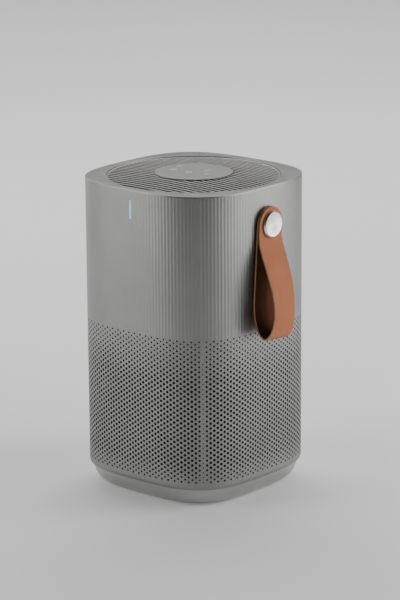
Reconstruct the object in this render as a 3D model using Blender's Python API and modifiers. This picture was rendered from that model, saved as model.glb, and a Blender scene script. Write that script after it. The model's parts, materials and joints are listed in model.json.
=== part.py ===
"""Small room air purifier: a soft-cornered square column with a carrying strap on its side.

Air enters through the lower half of the shell, passes inwards through a round filter,
rises through the inlet cone and the impeller, and leaves through the round top grille.

Frame: metres, +Z up. The origin is on the standing plane, on the body's vertical axis.
The status light faces -Y and the strap hangs on +X.
Every size below is in millimetres and is turned into metres by mm().
"""
import math

import bmesh
import bpy
from mathutils import Matrix, Vector

# ---- driving dimensions (mm) ----
HALF_WIDTH = 78.0
SQUARENESS = 3.19        # superellipse exponent of the body's plan
RIM_Z = 259.0
GAP = 0.3                # between pieces that touch
OUTLINE_POINTS = 64

# ---- shell ----
WALL = 2.2
SEAM_Z = 15.4            # lower edge of the shell
SHELL_TUCK = 2.3         # how far the lower edge is tucked in
SHELL_TUCK_HEIGHT = 3.6
RIM_THICKNESS = 1.5
RIM_CHAMFER = 0.6
RIM_SKIRT_DEPTH = 6.5    # the rim reaches down inside the shell
RIM_SKIRT_WALL = 1.6
RIM_FLANGE_R = 69.0      # inner edge of the ledge that the grille lies on

# ---- top ----
GRILLE_R = 71.1
GRILLE_TOP_Z = RIM_Z - 0.7
GRILLE_BOTTOM_Z = GRILLE_TOP_Z - 3.3
SLAT_PITCH = 4.9
SLOT_WIDTH = 2.9
SLOT_FIELD_R = 67.8
HUB_R = 33.0
DISC_R = 32.2
DISC_TOP_Z = RIM_Z + 2.0
DISC_SHEET = 1.4
DISC_SKIRT_WALL = 1.8
POCKET_FLOOR = 0.9       # thickness left under the control board
BOARD_THICKNESS = 1.6

# ---- status light ----
LIGHT_BOTTOM_Z = 234.8
LIGHT_TOP_Z = 250.3
LIGHT_WIDTH = 2.0
LIGHT_FLANGE_HALF_WIDTH = 3.0
LIGHT_BOARD_HALF_WIDTH = 5.0

# ---- base ----
BASE_BOTTOM_Z = 1.0
BASE_TOP_INSET = 2.6
BASE_BOTTOM_INSET = 12.65
BASE_CURVE_HEIGHT = 17.9
BASE_CURVE_EXPONENT = 1.87
BASE_WALL = 2.4
COLLAR_R = 57.0
LEDGE_R = 54.8
LEDGE_Z = 6.0
LEDGE_THICKNESS = 2.5
FOOT_R = 5.5
FOOT_HEIGHT = 2.6
CORNER_REACH = 66.0          # feet, cage posts and their screws stand this far out, at 45 degrees
BOSS_R = 5.4
BOSS_TOP_Z = 9.0

# ---- screws ----
SCREW_HEAD_R = 3.0
SCREW_HEAD_HEIGHT = 1.8
SCREW_SHANK_R = 1.5
SCREW_HOLE_R = 1.8
SCREW_HEAD_RECESS_R = 3.3

# ---- power jack, at the back ----
SOCKET_Z = 9.4
SOCKET_HOLE_R = 5.6
JACK_HALF_WIDTH = 4.6
JACK_FRONT_Y = 60.0
JACK_FACE_Y = 68.1
JACK_BOTTOM_Z = 5.3
JACK_TOP_Z = 13.5
JACK_WELL_R = 2.95
JACK_PIN_R = 1.0

# ---- filter cover ----
COVER_R = COLLAR_R - 0.6
COVER_BOTTOM_Z = 1.6
COVER_NECK_R = LEDGE_R - 0.5
COVER_TOP_Z = 10.6
COVER_SHEET_Z = 4.2          # inner face of the cover's flat ring
GRIP_FLOOR_Z = 8.8
GRIP_R = 30.0
GRIP_BAR_WIDTH = 9.0
GRIP_BAR_Z = 1.3
COVER_TWIST_DEG = 20.0
LUG_COUNT = 3
LUG_WIDTH = 9.0
LUG_PLAY = 0.8

# ---- filter ----
FILTER_R = 54.0
FILTER_CORE_R = 37.5
FILTER_BOTTOM_Z = 11.2
FILTER_TOP_Z = 139.3
FILTER_CAP_HEIGHT = 4.0
PLEATS = 40
PREFILTER_THICKNESS = 1.2
CARBON_R = 41.2
CAGE_R = 68.0
CAGE_BOTTOM_Z = 9.3
CAGE_TOP_Z = 11.8
POST_R = 5.0

# ---- fan ----
DECK_Z = 142.5
DECK_THICKNESS = 3.0
DUCT_R = 60.0
DUCT_WALL = 1.8
DUCT_WIDE_R = 66.5       # outside of the duct's wide upper end
DUCT_TOP_Z = 250.2
DUCT_FLARE_LOW_Z = 222.0
DUCT_FLARE_HIGH_Z = 240.0
IMPELLER_R = 52.0
IMPELLER_EYE_R = 36.0
IMPELLER_BOTTOM_Z = 156.0
IMPELLER_TOP_Z = 186.0
BLADES = 16
MOTOR_R = 27.0
MOTOR_BOTTOM_Z = 190.5
MOTOR_TOP_Z = 215.0
SHAFT_R = 2.0
BEARING_R = 8.2
STATOR_R = 25.0
WINDING_R = 23.5
MOUNT_THICKNESS = 3.3
VANE_LOW_Z = 194.0
VANES = 6

# ---- strap and its rivet ----
RIVET_Z = 228.9
RIVET_CAP_R = 11.0
RIVET_SHANK_R = 4.0
STRAP_HALF_WIDTH = 14.3
STRAP_THICKNESS = 1.6
STRAP_TILT_DEG = 4.5
RIVET_UNDER_CAP = 4.8        # distances along the rivet, out from the wall
RIVET_CAP_HEIGHT = 2.2
RIVET_INNER_END = -9.0
# centre line of the strap: (distance out from the wall, distance below the rivet)
STRAP_LINE = (
    (1.3, -14.0), (1.3, -7.0), (1.3, 0.0), (1.3, 20.0), (1.3, 42.0), (1.4, 60.0),
    (2.6, 74.0), (5.2, 82.0), (9.0, 88.5), (14.0, 91.6), (18.4, 88.5), (21.2, 82.0),
    (22.4, 74.0), (22.0, 64.0), (20.0, 54.0), (16.6, 44.0), (12.4, 34.0), (8.4, 25.0),
    (5.2, 17.5), (3.5, 11.0), (3.3, 5.0), (3.3, 0.0), (3.3, -7.0), (3.3, -14.0),
)

MODEL = "air_purifier"


def mm(value):
    return value * 0.001


# ---------------------------------------------------------------- scene and materials

def clear_scene():
    for old in list(bpy.data.objects):
        bpy.data.objects.remove(old, do_unlink=True)


def add_collection(name):
    made = bpy.data.collections.new(name)
    bpy.context.scene.collection.children.link(made)
    return made


def add_material(name, colour, roughness, metallic=0.0):
    made = bpy.data.materials.new(name)
    made.use_nodes = True
    shader = made.node_tree.nodes["Principled BSDF"]
    shader.inputs["Base Color"].default_value = (*colour, 1.0)
    shader.inputs["Roughness"].default_value = roughness
    shader.inputs["Metallic"].default_value = metallic
    made.diffuse_color = (*colour, 1.0)
    return made


clear_scene()
PARTS = add_collection(MODEL)
CUTTERS = add_collection("cutters")

GREY_SHELL = add_material("metallic_grey_shell", (0.29, 0.29, 0.28), 0.42, 0.35)
GREY_DISC = add_material("light_grey_disc", (0.31, 0.32, 0.29), 0.5)
GREY_BASE = add_material("grey_base", (0.21, 0.21, 0.2), 0.5, 0.2)
BLACK_PLASTIC = add_material("black_plastic", (0.02, 0.02, 0.02), 0.5)
WHITE_PLASTIC = add_material("white_plastic", (0.75, 0.75, 0.73), 0.45)
LIGHT_LENS = add_material("pale_blue_lens", (0.45, 0.75, 0.9), 0.3)
BOARD_GREEN = add_material("circuit_board", (0.02, 0.16, 0.07), 0.5)
FILTER_PAPER = add_material("filter_paper", (0.85, 0.85, 0.82), 0.9)
CARBON = add_material("carbon_mesh", (0.03, 0.03, 0.03), 0.9)
RUBBER = add_material("rubber", (0.04, 0.04, 0.04), 0.8)
FOAM = add_material("foam", (0.1, 0.1, 0.1), 0.95)
STEEL = add_material("steel", (0.6, 0.6, 0.6), 0.35, 1.0)
BRUSHED_STEEL = add_material("brushed_steel", (0.72, 0.73, 0.73), 0.3, 1.0)
COPPER = add_material("copper_winding", (0.7, 0.32, 0.14), 0.4, 1.0)
MAGNET = add_material("magnet", (0.12, 0.12, 0.13), 0.5, 0.6)
LEATHER = add_material("tan_leather", (0.43, 0.19, 0.11), 0.55)


# ---------------------------------------------------------------- shape helpers

def add_node(name, mesh_or_curve, material, collection=None):
    """Make one named object in the model's collection."""
    made = bpy.data.objects.new(name, mesh_or_curve)
    (collection or PARTS).objects.link(made)
    if material is not None:
        mesh_or_curve.materials.append(material)
    return made


def add_bmesh_node(name, shape, material, collection=None):
    mesh = bpy.data.meshes.new(name)
    bmesh.ops.recalc_face_normals(shape, faces=shape.faces)
    shape.to_mesh(mesh)
    shape.free()
    return add_node(name, mesh, material, collection)


def smooth(obj, angle_deg=40.0):
    obj.data.shade_smooth()
    obj.data.set_sharp_from_angle(angle=math.radians(angle_deg))
    return obj


def plan_point(inset, angle):
    """A point of the body's soft-cornered square plan, moved inwards by inset along its normal."""
    c = math.cos(angle)
    s = math.sin(angle)
    power = SQUARENESS
    radius = HALF_WIDTH * (abs(c) ** power + abs(s) ** power) ** (-1.0 / power)
    x = radius * c
    y = radius * s
    nx = math.copysign(abs(x) ** (power - 1.0), x)
    ny = math.copysign(abs(y) ** (power - 1.0), y)
    length = math.hypot(nx, ny)
    return x - inset * nx / length, y - inset * ny / length


def square(inset, z):
    """One level of a loft: the body's plan, inset, at height z."""
    return [(*plan_point(inset, math.tau * i / OUTLINE_POINTS), z) for i in range(OUTLINE_POINTS)]


def circle(radius, z):
    """One level of a loft: a circle with the same number of points as the plan."""
    angles = [math.tau * i / OUTLINE_POINTS for i in range(OUTLINE_POINTS)]
    return [(radius * math.cos(a), radius * math.sin(a), z) for a in angles]


def ring_loft(name, levels, material):
    """A closed ring: each level is a loop, joined to the next and the last to the first."""
    shape = bmesh.new()
    rings = [[shape.verts.new(Vector(p) * 0.001) for p in level] for level in levels]
    for lower, upper in zip(rings, rings[1:] + rings[:1]):
        for i in range(OUTLINE_POINTS):
            j = (i + 1) % OUTLINE_POINTS
            shape.faces.new((lower[i], lower[j], upper[j], upper[i]))
    return smooth(add_bmesh_node(name, shape, material))


def turned(name, profile, material, steps=40, collection=None):
    """Turn a profile of (radius, z) about Z. It runs outwards along the top, then down."""
    on_axis = profile[0][0] == 0.0
    mesh = bpy.data.meshes.new(name)
    points = [(mm(r), 0.0, mm(z)) for r, z in profile]
    edges = [(i, i + 1) for i in range(len(points) - 1)]
    if not on_axis:
        edges.append((len(points) - 1, 0))
    mesh.from_pydata(points, edges, [])
    made = add_node(name, mesh, material, collection)
    screw = made.modifiers.new("turn", "SCREW")
    screw.axis = "Z"
    screw.angle = math.tau
    screw.steps = steps
    screw.render_steps = steps
    screw.use_smooth_shade = True
    screw.use_merge_vertices = True
    screw.merge_threshold = 0.00001
    return made


def rod(name, radius, z_low, z_high, material, at=(0.0, 0.0), steps=20, collection=None):
    """A plain upright cylinder."""
    shape = bmesh.new()
    bmesh.ops.create_cone(
        shape, cap_ends=True, segments=steps, radius1=mm(radius), radius2=mm(radius),
        depth=mm(z_high - z_low))
    middle = (mm(at[0]), mm(at[1]), mm((z_low + z_high) / 2))
    bmesh.ops.translate(shape, verts=shape.verts, vec=middle)
    return smooth(add_bmesh_node(name, shape, material, collection))


def block(name, low, high, material, collection=None):
    """An upright box between two corners."""
    shape = bmesh.new()
    bmesh.ops.create_cube(shape, size=1.0)
    size = [mm(b - a) for a, b in zip(low, high)]
    middle = [mm((a + b) / 2) for a, b in zip(low, high)]
    bmesh.ops.scale(shape, verts=shape.verts, vec=size)
    bmesh.ops.translate(shape, verts=shape.verts, vec=middle)
    return add_bmesh_node(name, shape, material, collection)


def hide_tool(tool):
    tool.hide_render = True
    tool.display_type = "WIRE"
    return tool


def boolean(target, tool, operation):
    change = target.modifiers.new(tool.name, "BOOLEAN")
    change.operation = operation
    change.object = hide_tool(tool)


def cut(target, tool):
    boolean(target, tool, "DIFFERENCE")


def join(target, tool):
    boolean(target, tool, "UNION")


def cutter_block(name, low, high):
    return block(name, low, high, None, CUTTERS)


def cutter_rod(name, radius, z_low, z_high, at=(0.0, 0.0), steps=20):
    return rod(name, radius, z_low, z_high, None, at, steps, CUTTERS)


def turn_about_z(obj, degrees):
    obj.data.transform(Matrix.Rotation(math.radians(degrees), 4, "Z"))
    return obj


def point_along_x(obj, x, z):
    """Lay a shape that was made along Z down along X, with its zero at (x, 0, z)."""
    lay = Matrix.Translation((mm(x), 0.0, mm(z))) @ Matrix.Rotation(math.pi / 2, 4, "Y")
    obj.data.transform(lay)
    return obj


def add_axis(name, location):
    """An empty on a joint's axis, which carries the pieces that turn with it."""
    empty = bpy.data.objects.new(name, None)
    empty.location = [mm(v) for v in location]
    empty.empty_display_size = 0.02
    PARTS.objects.link(empty)
    return empty


def corner_positions():
    """The four places on the diagonals where feet, posts and screws stand."""
    reach = CORNER_REACH / math.sqrt(2.0)
    return {
        "front_right": (reach, -reach),
        "back_right": (reach, reach),
        "back_left": (-reach, reach),
        "front_left": (-reach, -reach),
    }


# ---------------------------------------------------------------- casing

def make_shell():
    top = RIM_Z - RIM_THICKNESS - GAP
    tuck_top = SEAM_Z + SHELL_TUCK_HEIGHT
    levels = [square(0.0, top), square(0.0, tuck_top)]
    for turn in (30.0, 60.0):
        a = math.radians(turn)
        levels.append(square(SHELL_TUCK * (1 - math.cos(a)), tuck_top - SHELL_TUCK_HEIGHT * math.sin(a)))
    levels += [square(SHELL_TUCK, SEAM_Z), square(SHELL_TUCK + WALL, SEAM_Z)]
    levels += [square(WALL, tuck_top), square(WALL, top)]
    shell = ring_loft("outer_shell", levels, GREY_SHELL)
    slot = cutter_block(
        "light_slot", (-LIGHT_WIDTH / 2 - GAP, -HALF_WIDTH - 2, LIGHT_BOTTOM_Z - GAP),
        (LIGHT_WIDTH / 2 + GAP, -HALF_WIDTH + WALL + 3, LIGHT_TOP_Z + GAP))
    cut(shell, slot)
    hole = cutter_rod("rivet_hole", RIVET_SHANK_R + GAP, HALF_WIDTH - 6, HALF_WIDTH + 2)
    cut(shell, point_along_x(hole, 0.0, RIVET_Z))
    return shell


def make_top_bezel():
    under = RIM_Z - RIM_THICKNESS
    skirt = WALL + 0.4
    skirt_inner = skirt + RIM_SKIRT_WALL
    skirt_end = under - RIM_SKIRT_DEPTH
    seat = GRILLE_BOTTOM_Z - GAP
    levels = [
        square(RIM_CHAMFER, RIM_Z), square(0.0, RIM_Z - RIM_CHAMFER), square(0.0, under),
        square(skirt, under), square(skirt, skirt_end), square(skirt_inner, skirt_end),
        square(skirt_inner, skirt_end + 1.5), circle(RIM_FLANGE_R, skirt_end + 1.5),
        circle(RIM_FLANGE_R, seat), circle(GRILLE_R + 0.4, seat), circle(GRILLE_R + 0.4, RIM_Z),
    ]
    return ring_loft("top_bezel", levels, GREY_SHELL)


def grille_slot_spans():
    """Each slot as (y, x from, x to): full chords, or two halves where the hub is in the way."""
    spans = []
    count = int(SLOT_FIELD_R // SLAT_PITCH)
    for i in range(-count, count + 1):
        y = (i + 0.5) * SLAT_PITCH
        edge_y = abs(y) + SLOT_WIDTH / 2
        if edge_y >= SLOT_FIELD_R - 2.0:
            continue
        outer = math.sqrt(SLOT_FIELD_R ** 2 - edge_y ** 2)
        near_y = max(abs(y) - SLOT_WIDTH / 2, 0.0)
        if near_y < HUB_R:
            inner = math.sqrt(HUB_R ** 2 - near_y ** 2)
            spans.append((y, -outer, -inner))
            spans.append((y, inner, outer))
        else:
            spans.append((y, -outer, outer))
    return spans


def make_grille():
    grille = rod("outlet_grille", GRILLE_R, GRILLE_BOTTOM_Z, GRILLE_TOP_Z, GREY_SHELL, steps=56)
    shape = bmesh.new()
    for y, x_from, x_to in grille_slot_spans():
        made = bmesh.ops.create_cube(shape, size=1.0)
        bmesh.ops.scale(shape, verts=made["verts"], vec=(mm(x_to - x_from), mm(SLOT_WIDTH), mm(8.0)))
        centre = (mm((x_from + x_to) / 2), mm(y), mm(GRILLE_TOP_Z - 2.0))
        bmesh.ops.translate(shape, verts=made["verts"], vec=centre)
    cut(grille, add_bmesh_node("grille_slots", shape, None, CUTTERS))
    pocket = cutter_rod(
        "board_pocket", HUB_R - 2.5, GRILLE_BOTTOM_Z + POCKET_FLOOR, GRILLE_TOP_Z + 2, steps=48)
    cut(grille, pocket)
    return grille


def make_control_disc():
    under = GRILLE_TOP_Z + GAP
    profile = [
        (0.0, DISC_TOP_Z), (DISC_R - 0.8, DISC_TOP_Z), (DISC_R - 0.2, DISC_TOP_Z - 0.3),
        (DISC_R, DISC_TOP_Z - 0.9), (DISC_R, under), (DISC_R - DISC_SKIRT_WALL, under),
        (DISC_R - DISC_SKIRT_WALL, DISC_TOP_Z - DISC_SHEET), (0.0, DISC_TOP_Z - DISC_SHEET),
    ]
    turned("control_disc", profile, GREY_DISC)
    board_low = GRILLE_BOTTOM_Z + POCKET_FLOOR + GAP
    rod("control_board", HUB_R - 3.2, board_low, board_low + BOARD_THICKNESS, BOARD_GREEN, steps=32)


def make_status_light():
    face = -HALF_WIDTH
    half = LIGHT_WIDTH / 2
    pipe = block(
        "status_light_pipe", (-half, face - 0.15, LIGHT_BOTTOM_Z),
        (half, face + WALL + 1.5, LIGHT_TOP_Z), LIGHT_LENS)
    flange = cutter_block(
        "light_flange", (-LIGHT_FLANGE_HALF_WIDTH, face + WALL + 0.4, LIGHT_BOTTOM_Z - 2.5),
        (LIGHT_FLANGE_HALF_WIDTH, face + WALL + 2.2, LIGHT_TOP_Z + 0.6))
    join(pipe, flange)
    block(
        "status_light_board", (-LIGHT_BOARD_HALF_WIDTH, face + WALL + 2.6, LIGHT_BOTTOM_Z - 4.0),
        (LIGHT_BOARD_HALF_WIDTH, face + WALL + 4.2, LIGHT_TOP_Z + 0.5), BOARD_GREEN)


# ---------------------------------------------------------------- base, cover and feet

def base_curve(z):
    """Inset of the base's bowl-shaped outside at height z."""
    power = 2.0 / BASE_CURVE_EXPONENT
    drop = 1.0 - (z - BASE_BOTTOM_Z) / BASE_CURVE_HEIGHT
    sine = drop ** (1.0 / power)
    cosine = math.sqrt(max(0.0, 1.0 - sine * sine))
    return BASE_TOP_INSET + (BASE_BOTTOM_INSET - BASE_TOP_INSET) * (1.0 - cosine ** power)


def make_base_tray():
    top = SEAM_Z - GAP
    floor = BASE_BOTTOM_Z + BASE_WALL
    collar_top = LEDGE_Z + LEDGE_THICKNESS
    collar_outer = COLLAR_R + 2.2
    heights = (top, 9.5, 5.0, 2.4)
    levels = [square(base_curve(z), z) for z in heights]
    levels.append(square(BASE_BOTTOM_INSET, BASE_BOTTOM_Z))
    levels += [
        circle(COLLAR_R, BASE_BOTTOM_Z), circle(COLLAR_R, LEDGE_Z), circle(LEDGE_R, LEDGE_Z),
        circle(LEDGE_R, collar_top), circle(collar_outer, collar_top), circle(collar_outer, floor),
    ]
    levels.append(square(base_curve(floor) + BASE_WALL + 0.8, floor))
    levels += [square(base_curve(z) + BASE_WALL, z) for z in (7.5, top)]
    tray = ring_loft("base_tray", levels, GREY_BASE)
    for name, place in corner_positions().items():
        boss = cutter_rod("boss_" + name, BOSS_R, BASE_BOTTOM_Z + 1.2, BOSS_TOP_Z, place)
        join(tray, boss)
    for name, place in corner_positions().items():
        cut(tray, cutter_rod("foot_recess_" + name, FOOT_R + GAP, 0.0, FOOT_HEIGHT + GAP, place))
        cut(tray, cutter_rod("head_recess_" + name, SCREW_HEAD_RECESS_R, 2.0, 5.4, place))
        cut(tray, cutter_rod("screw_hole_" + name, SCREW_HOLE_R, 4.0, 12.0, place))
    for i in range(LUG_COUNT):
        slot = cutter_block(
            "bayonet_slot_%d" % i, (LEDGE_R - 2.0, -LUG_WIDTH / 2 - LUG_PLAY, LEDGE_Z - 0.5),
            (COLLAR_R - 0.05, LUG_WIDTH / 2 + LUG_PLAY, collar_top + 0.5))
        cut(tray, turn_about_z(slot, 360.0 * i / LUG_COUNT + COVER_TWIST_DEG))
    socket = cutter_rod("socket_hole", SOCKET_HOLE_R, 60.0, 80.0)
    cut(tray, socket_along_y(socket))
    return tray


def socket_along_y(obj):
    """Lay a shape made along Z so that it points out of the back, along +Y, at the socket."""
    lay = Matrix.Translation((0.0, 0.0, mm(SOCKET_Z))) @ Matrix.Rotation(-math.pi / 2, 4, "X")
    obj.data.transform(lay)
    return obj


def make_power_jack():
    """A barrel jack: a block with a round well and a centre pin."""
    jack = block(
        "power_jack", (-JACK_HALF_WIDTH, JACK_FRONT_Y, JACK_BOTTOM_Z),
        (JACK_HALF_WIDTH, JACK_FACE_Y, JACK_TOP_Z), BLACK_PLASTIC)
    cut(jack, socket_along_y(cutter_rod("jack_well", JACK_WELL_R, JACK_FRONT_Y + 1.5, 75.0)))
    pin = cutter_rod("jack_pin", JACK_PIN_R, JACK_FRONT_Y + 0.8, JACK_FACE_Y - 1.1, steps=12)
    join(jack, socket_along_y(pin))


def make_feet_and_base_screws():
    for name, place in corner_positions().items():
        rod("foot_" + name, FOOT_R, 0.0, FOOT_HEIGHT, RUBBER, place)
        screw("base_screw_" + name, place, head_z=3.3, head_up=False, shank=16.0)


def screw(name, place, head_z, head_up, shank):
    """A pan-head screw. Its head fills the height above head_z; its shank runs down or up."""
    top = head_z + SCREW_HEAD_HEIGHT
    body = rod(name, SCREW_HEAD_R, head_z, top, STEEL, place, steps=16)
    shank_low, shank_high = (head_z - shank, head_z + 0.5) if head_up else (top - 0.5, top + shank)
    join(body, cutter_rod(name + "_shank", SCREW_SHANK_R, shank_low, shank_high, place, steps=12))


def make_filter_cover(axis):
    profile = [
        (0.0, COVER_TOP_Z), (GRIP_R + 2.0, COVER_TOP_Z), (GRIP_R + 2.0, COVER_SHEET_Z),
        (COVER_NECK_R - 2.0, COVER_SHEET_Z), (COVER_NECK_R - 2.0, COVER_TOP_Z),
        (COVER_NECK_R, COVER_TOP_Z), (COVER_NECK_R, LEDGE_Z - GAP),
        (COVER_R, LEDGE_Z - GAP), (COVER_R, COVER_BOTTOM_Z + 0.5), (COVER_R - 0.5, COVER_BOTTOM_Z),
        (GRIP_R + 0.4, COVER_BOTTOM_Z), (GRIP_R, COVER_BOTTOM_Z + 0.4), (GRIP_R, GRIP_FLOOR_Z),
        (0.0, GRIP_FLOOR_Z),
    ]
    cover = turned("filter_cover", profile, GREY_BASE)
    bar = cutter_block(
        "grip_bar", (-GRIP_R - 0.9, -GRIP_BAR_WIDTH / 2, GRIP_BAR_Z),
        (GRIP_R + 0.9, GRIP_BAR_WIDTH / 2, GRIP_FLOOR_Z + 0.6))
    join(cover, bar)
    lug_low = LEDGE_Z + LEDGE_THICKNESS + GAP
    for i in range(LUG_COUNT):
        lug = cutter_block(
            "lug_%d" % i, (COVER_NECK_R - 1.0, -LUG_WIDTH / 2, lug_low),
            (COLLAR_R - 1.0, LUG_WIDTH / 2, COVER_TOP_Z - 0.2))
        join(cover, turn_about_z(lug, 360.0 * i / LUG_COUNT))
    cover.parent = axis


# ---------------------------------------------------------------- filter

def add_plan_curve(name, outlines, z_low, z_high, material):
    """Extrude closed flat outlines; the second outline is a hole in the first."""
    curve = bpy.data.curves.new(name, "CURVE")
    curve.dimensions = "2D"
    curve.fill_mode = "BOTH"
    curve.extrude = mm(z_high - z_low) / 2
    for outline in outlines:
        spline = curve.splines.new("POLY")
        spline.points.add(len(outline) - 1)
        for point, (x, y) in zip(spline.points, outline):
            point.co = (mm(x), mm(y), 0.0, 1.0)
        spline.use_cyclic_u = True
    made = add_node(name, curve, material)
    made.location.z = mm((z_low + z_high) / 2)
    return made


def pleat_outline(outer, inner):
    """A zigzag between two radii, one point per fold."""
    folds = []
    for i in range(2 * PLEATS):
        radius = outer if i % 2 == 0 else inner
        angle = math.pi * i / PLEATS
        folds.append((radius * math.cos(angle), radius * math.sin(angle)))
    return folds


def ring(name, outer, inner, z_low, z_high, material, steps=32):
    profile = [(inner, z_high), (outer, z_high), (outer, z_low), (inner, z_low)]
    return turned(name, profile, material, steps)


def make_filter():
    low = FILTER_BOTTOM_Z + FILTER_CAP_HEIGHT + GAP
    high = FILTER_TOP_Z - FILTER_CAP_HEIGHT - GAP
    ring("filter_prefilter", FILTER_R, FILTER_R - PREFILTER_THICKNESS, low, high, CARBON)
    media = (pleat_outline(52.2, 44.8), pleat_outline(49.6, 42.2))
    add_plan_curve("filter_media", media, low, high, FILTER_PAPER)
    ring("filter_carbon_core", CARBON_R, FILTER_CORE_R, low, high, CARBON)
    ring("filter_bottom_cap", FILTER_R, FILTER_CORE_R - 1.5, FILTER_BOTTOM_Z, low - GAP, BLACK_PLASTIC)
    ring("filter_top_cap", FILTER_R, FILTER_CORE_R - 1.5, high + GAP, FILTER_TOP_Z, BLACK_PLASTIC)
    ring("filter_gasket", 51.0, 41.0, FILTER_TOP_Z + GAP, DECK_Z - GAP, FOAM)
    block("filter_pull_tab", (-8.0, -42.5, 5.4), (8.0, -41.7, FILTER_BOTTOM_Z - GAP), FOAM)


def make_filter_cage():
    """The inner frame: a ring over the base tray, with four posts that carry the fan deck."""
    cage = ring("filter_cage", CAGE_R, COLLAR_R + 0.6, CAGE_BOTTOM_Z, CAGE_TOP_Z, BLACK_PLASTIC, steps=36)
    for name, place in corner_positions().items():
        join(cage, cutter_rod("post_" + name, POST_R, CAGE_BOTTOM_Z, DECK_Z - GAP, place, steps=16))
    for name, place in corner_positions().items():
        cut(cage, cutter_rod("low_pilot_" + name, SCREW_HOLE_R, 5.0, 26.0, place, steps=12))
        high_pilot = cutter_rod(
            "high_pilot_" + name, SCREW_HOLE_R, DECK_Z - 16.0, DECK_Z + 2.0, place, steps=12)
        cut(cage, high_pilot)
    cut(cage, cutter_block("jack_notch", (-5.2, 59.3, 8.0), (5.2, 75.0, 14.0)))


# ---------------------------------------------------------------- fan

def make_fan_deck():
    top = DECK_Z + DECK_THICKNESS
    inset = WALL + 0.5
    levels = [square(inset, top), square(inset, DECK_Z), circle(38.0, DECK_Z), circle(38.0, top)]
    deck = ring_loft("fan_deck", levels, BLACK_PLASTIC)
    for name, place in corner_positions().items():
        cut(deck, cutter_rod("deck_hole_" + name, SCREW_HOLE_R, DECK_Z - 2, top + 2, place, steps=12))
        screw("deck_screw_" + name, place, head_z=top + GAP, head_up=True, shank=14.0)


def make_air_path():
    deck_top = DECK_Z + DECK_THICKNESS + GAP
    throat = IMPELLER_EYE_R - 2.0
    outside = [(46.0, 1.8), (40.5, 3.2), (37.0, 6.0), (throat + 1.6, 10.0), (throat + 1.6, 14.5)]
    inside = [(throat, 14.5), (throat, 10.0), (35.6, 4.6), (37.6, 1.6), (39.0, 0.0)]
    profile = outside[::-1] + [(50.0, 1.8), (50.0, 0.0)] + inside[::-1]
    turned("inlet_cone", [(r, deck_top + z) for r, z in profile], BLACK_PLASTIC, steps=32)
    duct = [
        (DUCT_R, DUCT_FLARE_LOW_Z), (DUCT_WIDE_R - DUCT_WALL, DUCT_FLARE_HIGH_Z),
        (DUCT_WIDE_R - DUCT_WALL, DUCT_TOP_Z), (DUCT_WIDE_R, DUCT_TOP_Z),
        (DUCT_WIDE_R, DUCT_FLARE_HIGH_Z - 0.5), (DUCT_R + DUCT_WALL, DUCT_FLARE_LOW_Z - 0.5),
        (DUCT_R + DUCT_WALL, deck_top), (DUCT_R, deck_top),
    ]
    turned("air_duct", duct, BLACK_PLASTIC, steps=40)


def make_impeller(axis):
    """A back plate with a hub, curved blades below it, and a ring that closes their lower ends."""
    plate_low = IMPELLER_TOP_Z - 2.0
    profile = [
        (SHAFT_R + GAP, IMPELLER_TOP_Z), (IMPELLER_R, IMPELLER_TOP_Z), (IMPELLER_R, plate_low),
        (20.0, plate_low), (9.0, plate_low - 4.0), (7.0, 166.0), (SHAFT_R + GAP, 166.0),
    ]
    wheel = turned("impeller", profile, WHITE_PLASTIC, steps=32)
    eye_ring = [
        (IMPELLER_EYE_R + 1.0, IMPELLER_BOTTOM_Z + 2.0), (IMPELLER_R, IMPELLER_BOTTOM_Z + 2.0),
        (IMPELLER_R, IMPELLER_BOTTOM_Z), (IMPELLER_EYE_R + 1.0, IMPELLER_BOTTOM_Z),
    ]
    for i in range(BLADES):
        join(wheel, make_blade("blade_%02d" % i, 360.0 * i / BLADES, plate_low))
    join(wheel, hide_tool(turned("eye_ring", eye_ring, None, 32, CUTTERS)))
    wheel.parent = axis


def make_blade(name, turn, plate_low):
    """One blade: a thin arc from the eye to the rim, extruded upwards."""
    inner = IMPELLER_EYE_R + 2.5
    outer = IMPELLER_R - 0.7
    sweep = math.radians(24.0)
    half = 0.6
    steps = 4
    left = []
    right = []
    for i in range(steps + 1):
        part = i / steps
        radius = inner + (outer - inner) * part
        angle = math.radians(turn) - sweep * part * part
        x = radius * math.cos(angle)
        y = radius * math.sin(angle)
        side = Vector((-math.sin(angle), math.cos(angle))) * half
        left.append((x + side.x, y + side.y))
        right.append((x - side.x, y - side.y))
    shape = bmesh.new()
    low = [shape.verts.new((mm(x), mm(y), mm(IMPELLER_BOTTOM_Z + 1.0))) for x, y in left + right[::-1]]
    face = shape.faces.new(low)
    lifted = bmesh.ops.extrude_face_region(shape, geom=[face])
    moved = [v for v in lifted["geom"] if isinstance(v, bmesh.types.BMVert)]
    bmesh.ops.translate(shape, verts=moved, vec=(0.0, 0.0, mm(plate_low + 1.0 - IMPELLER_BOTTOM_Z - 1.0)))
    return add_bmesh_node(name, shape, None, CUTTERS)


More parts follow.
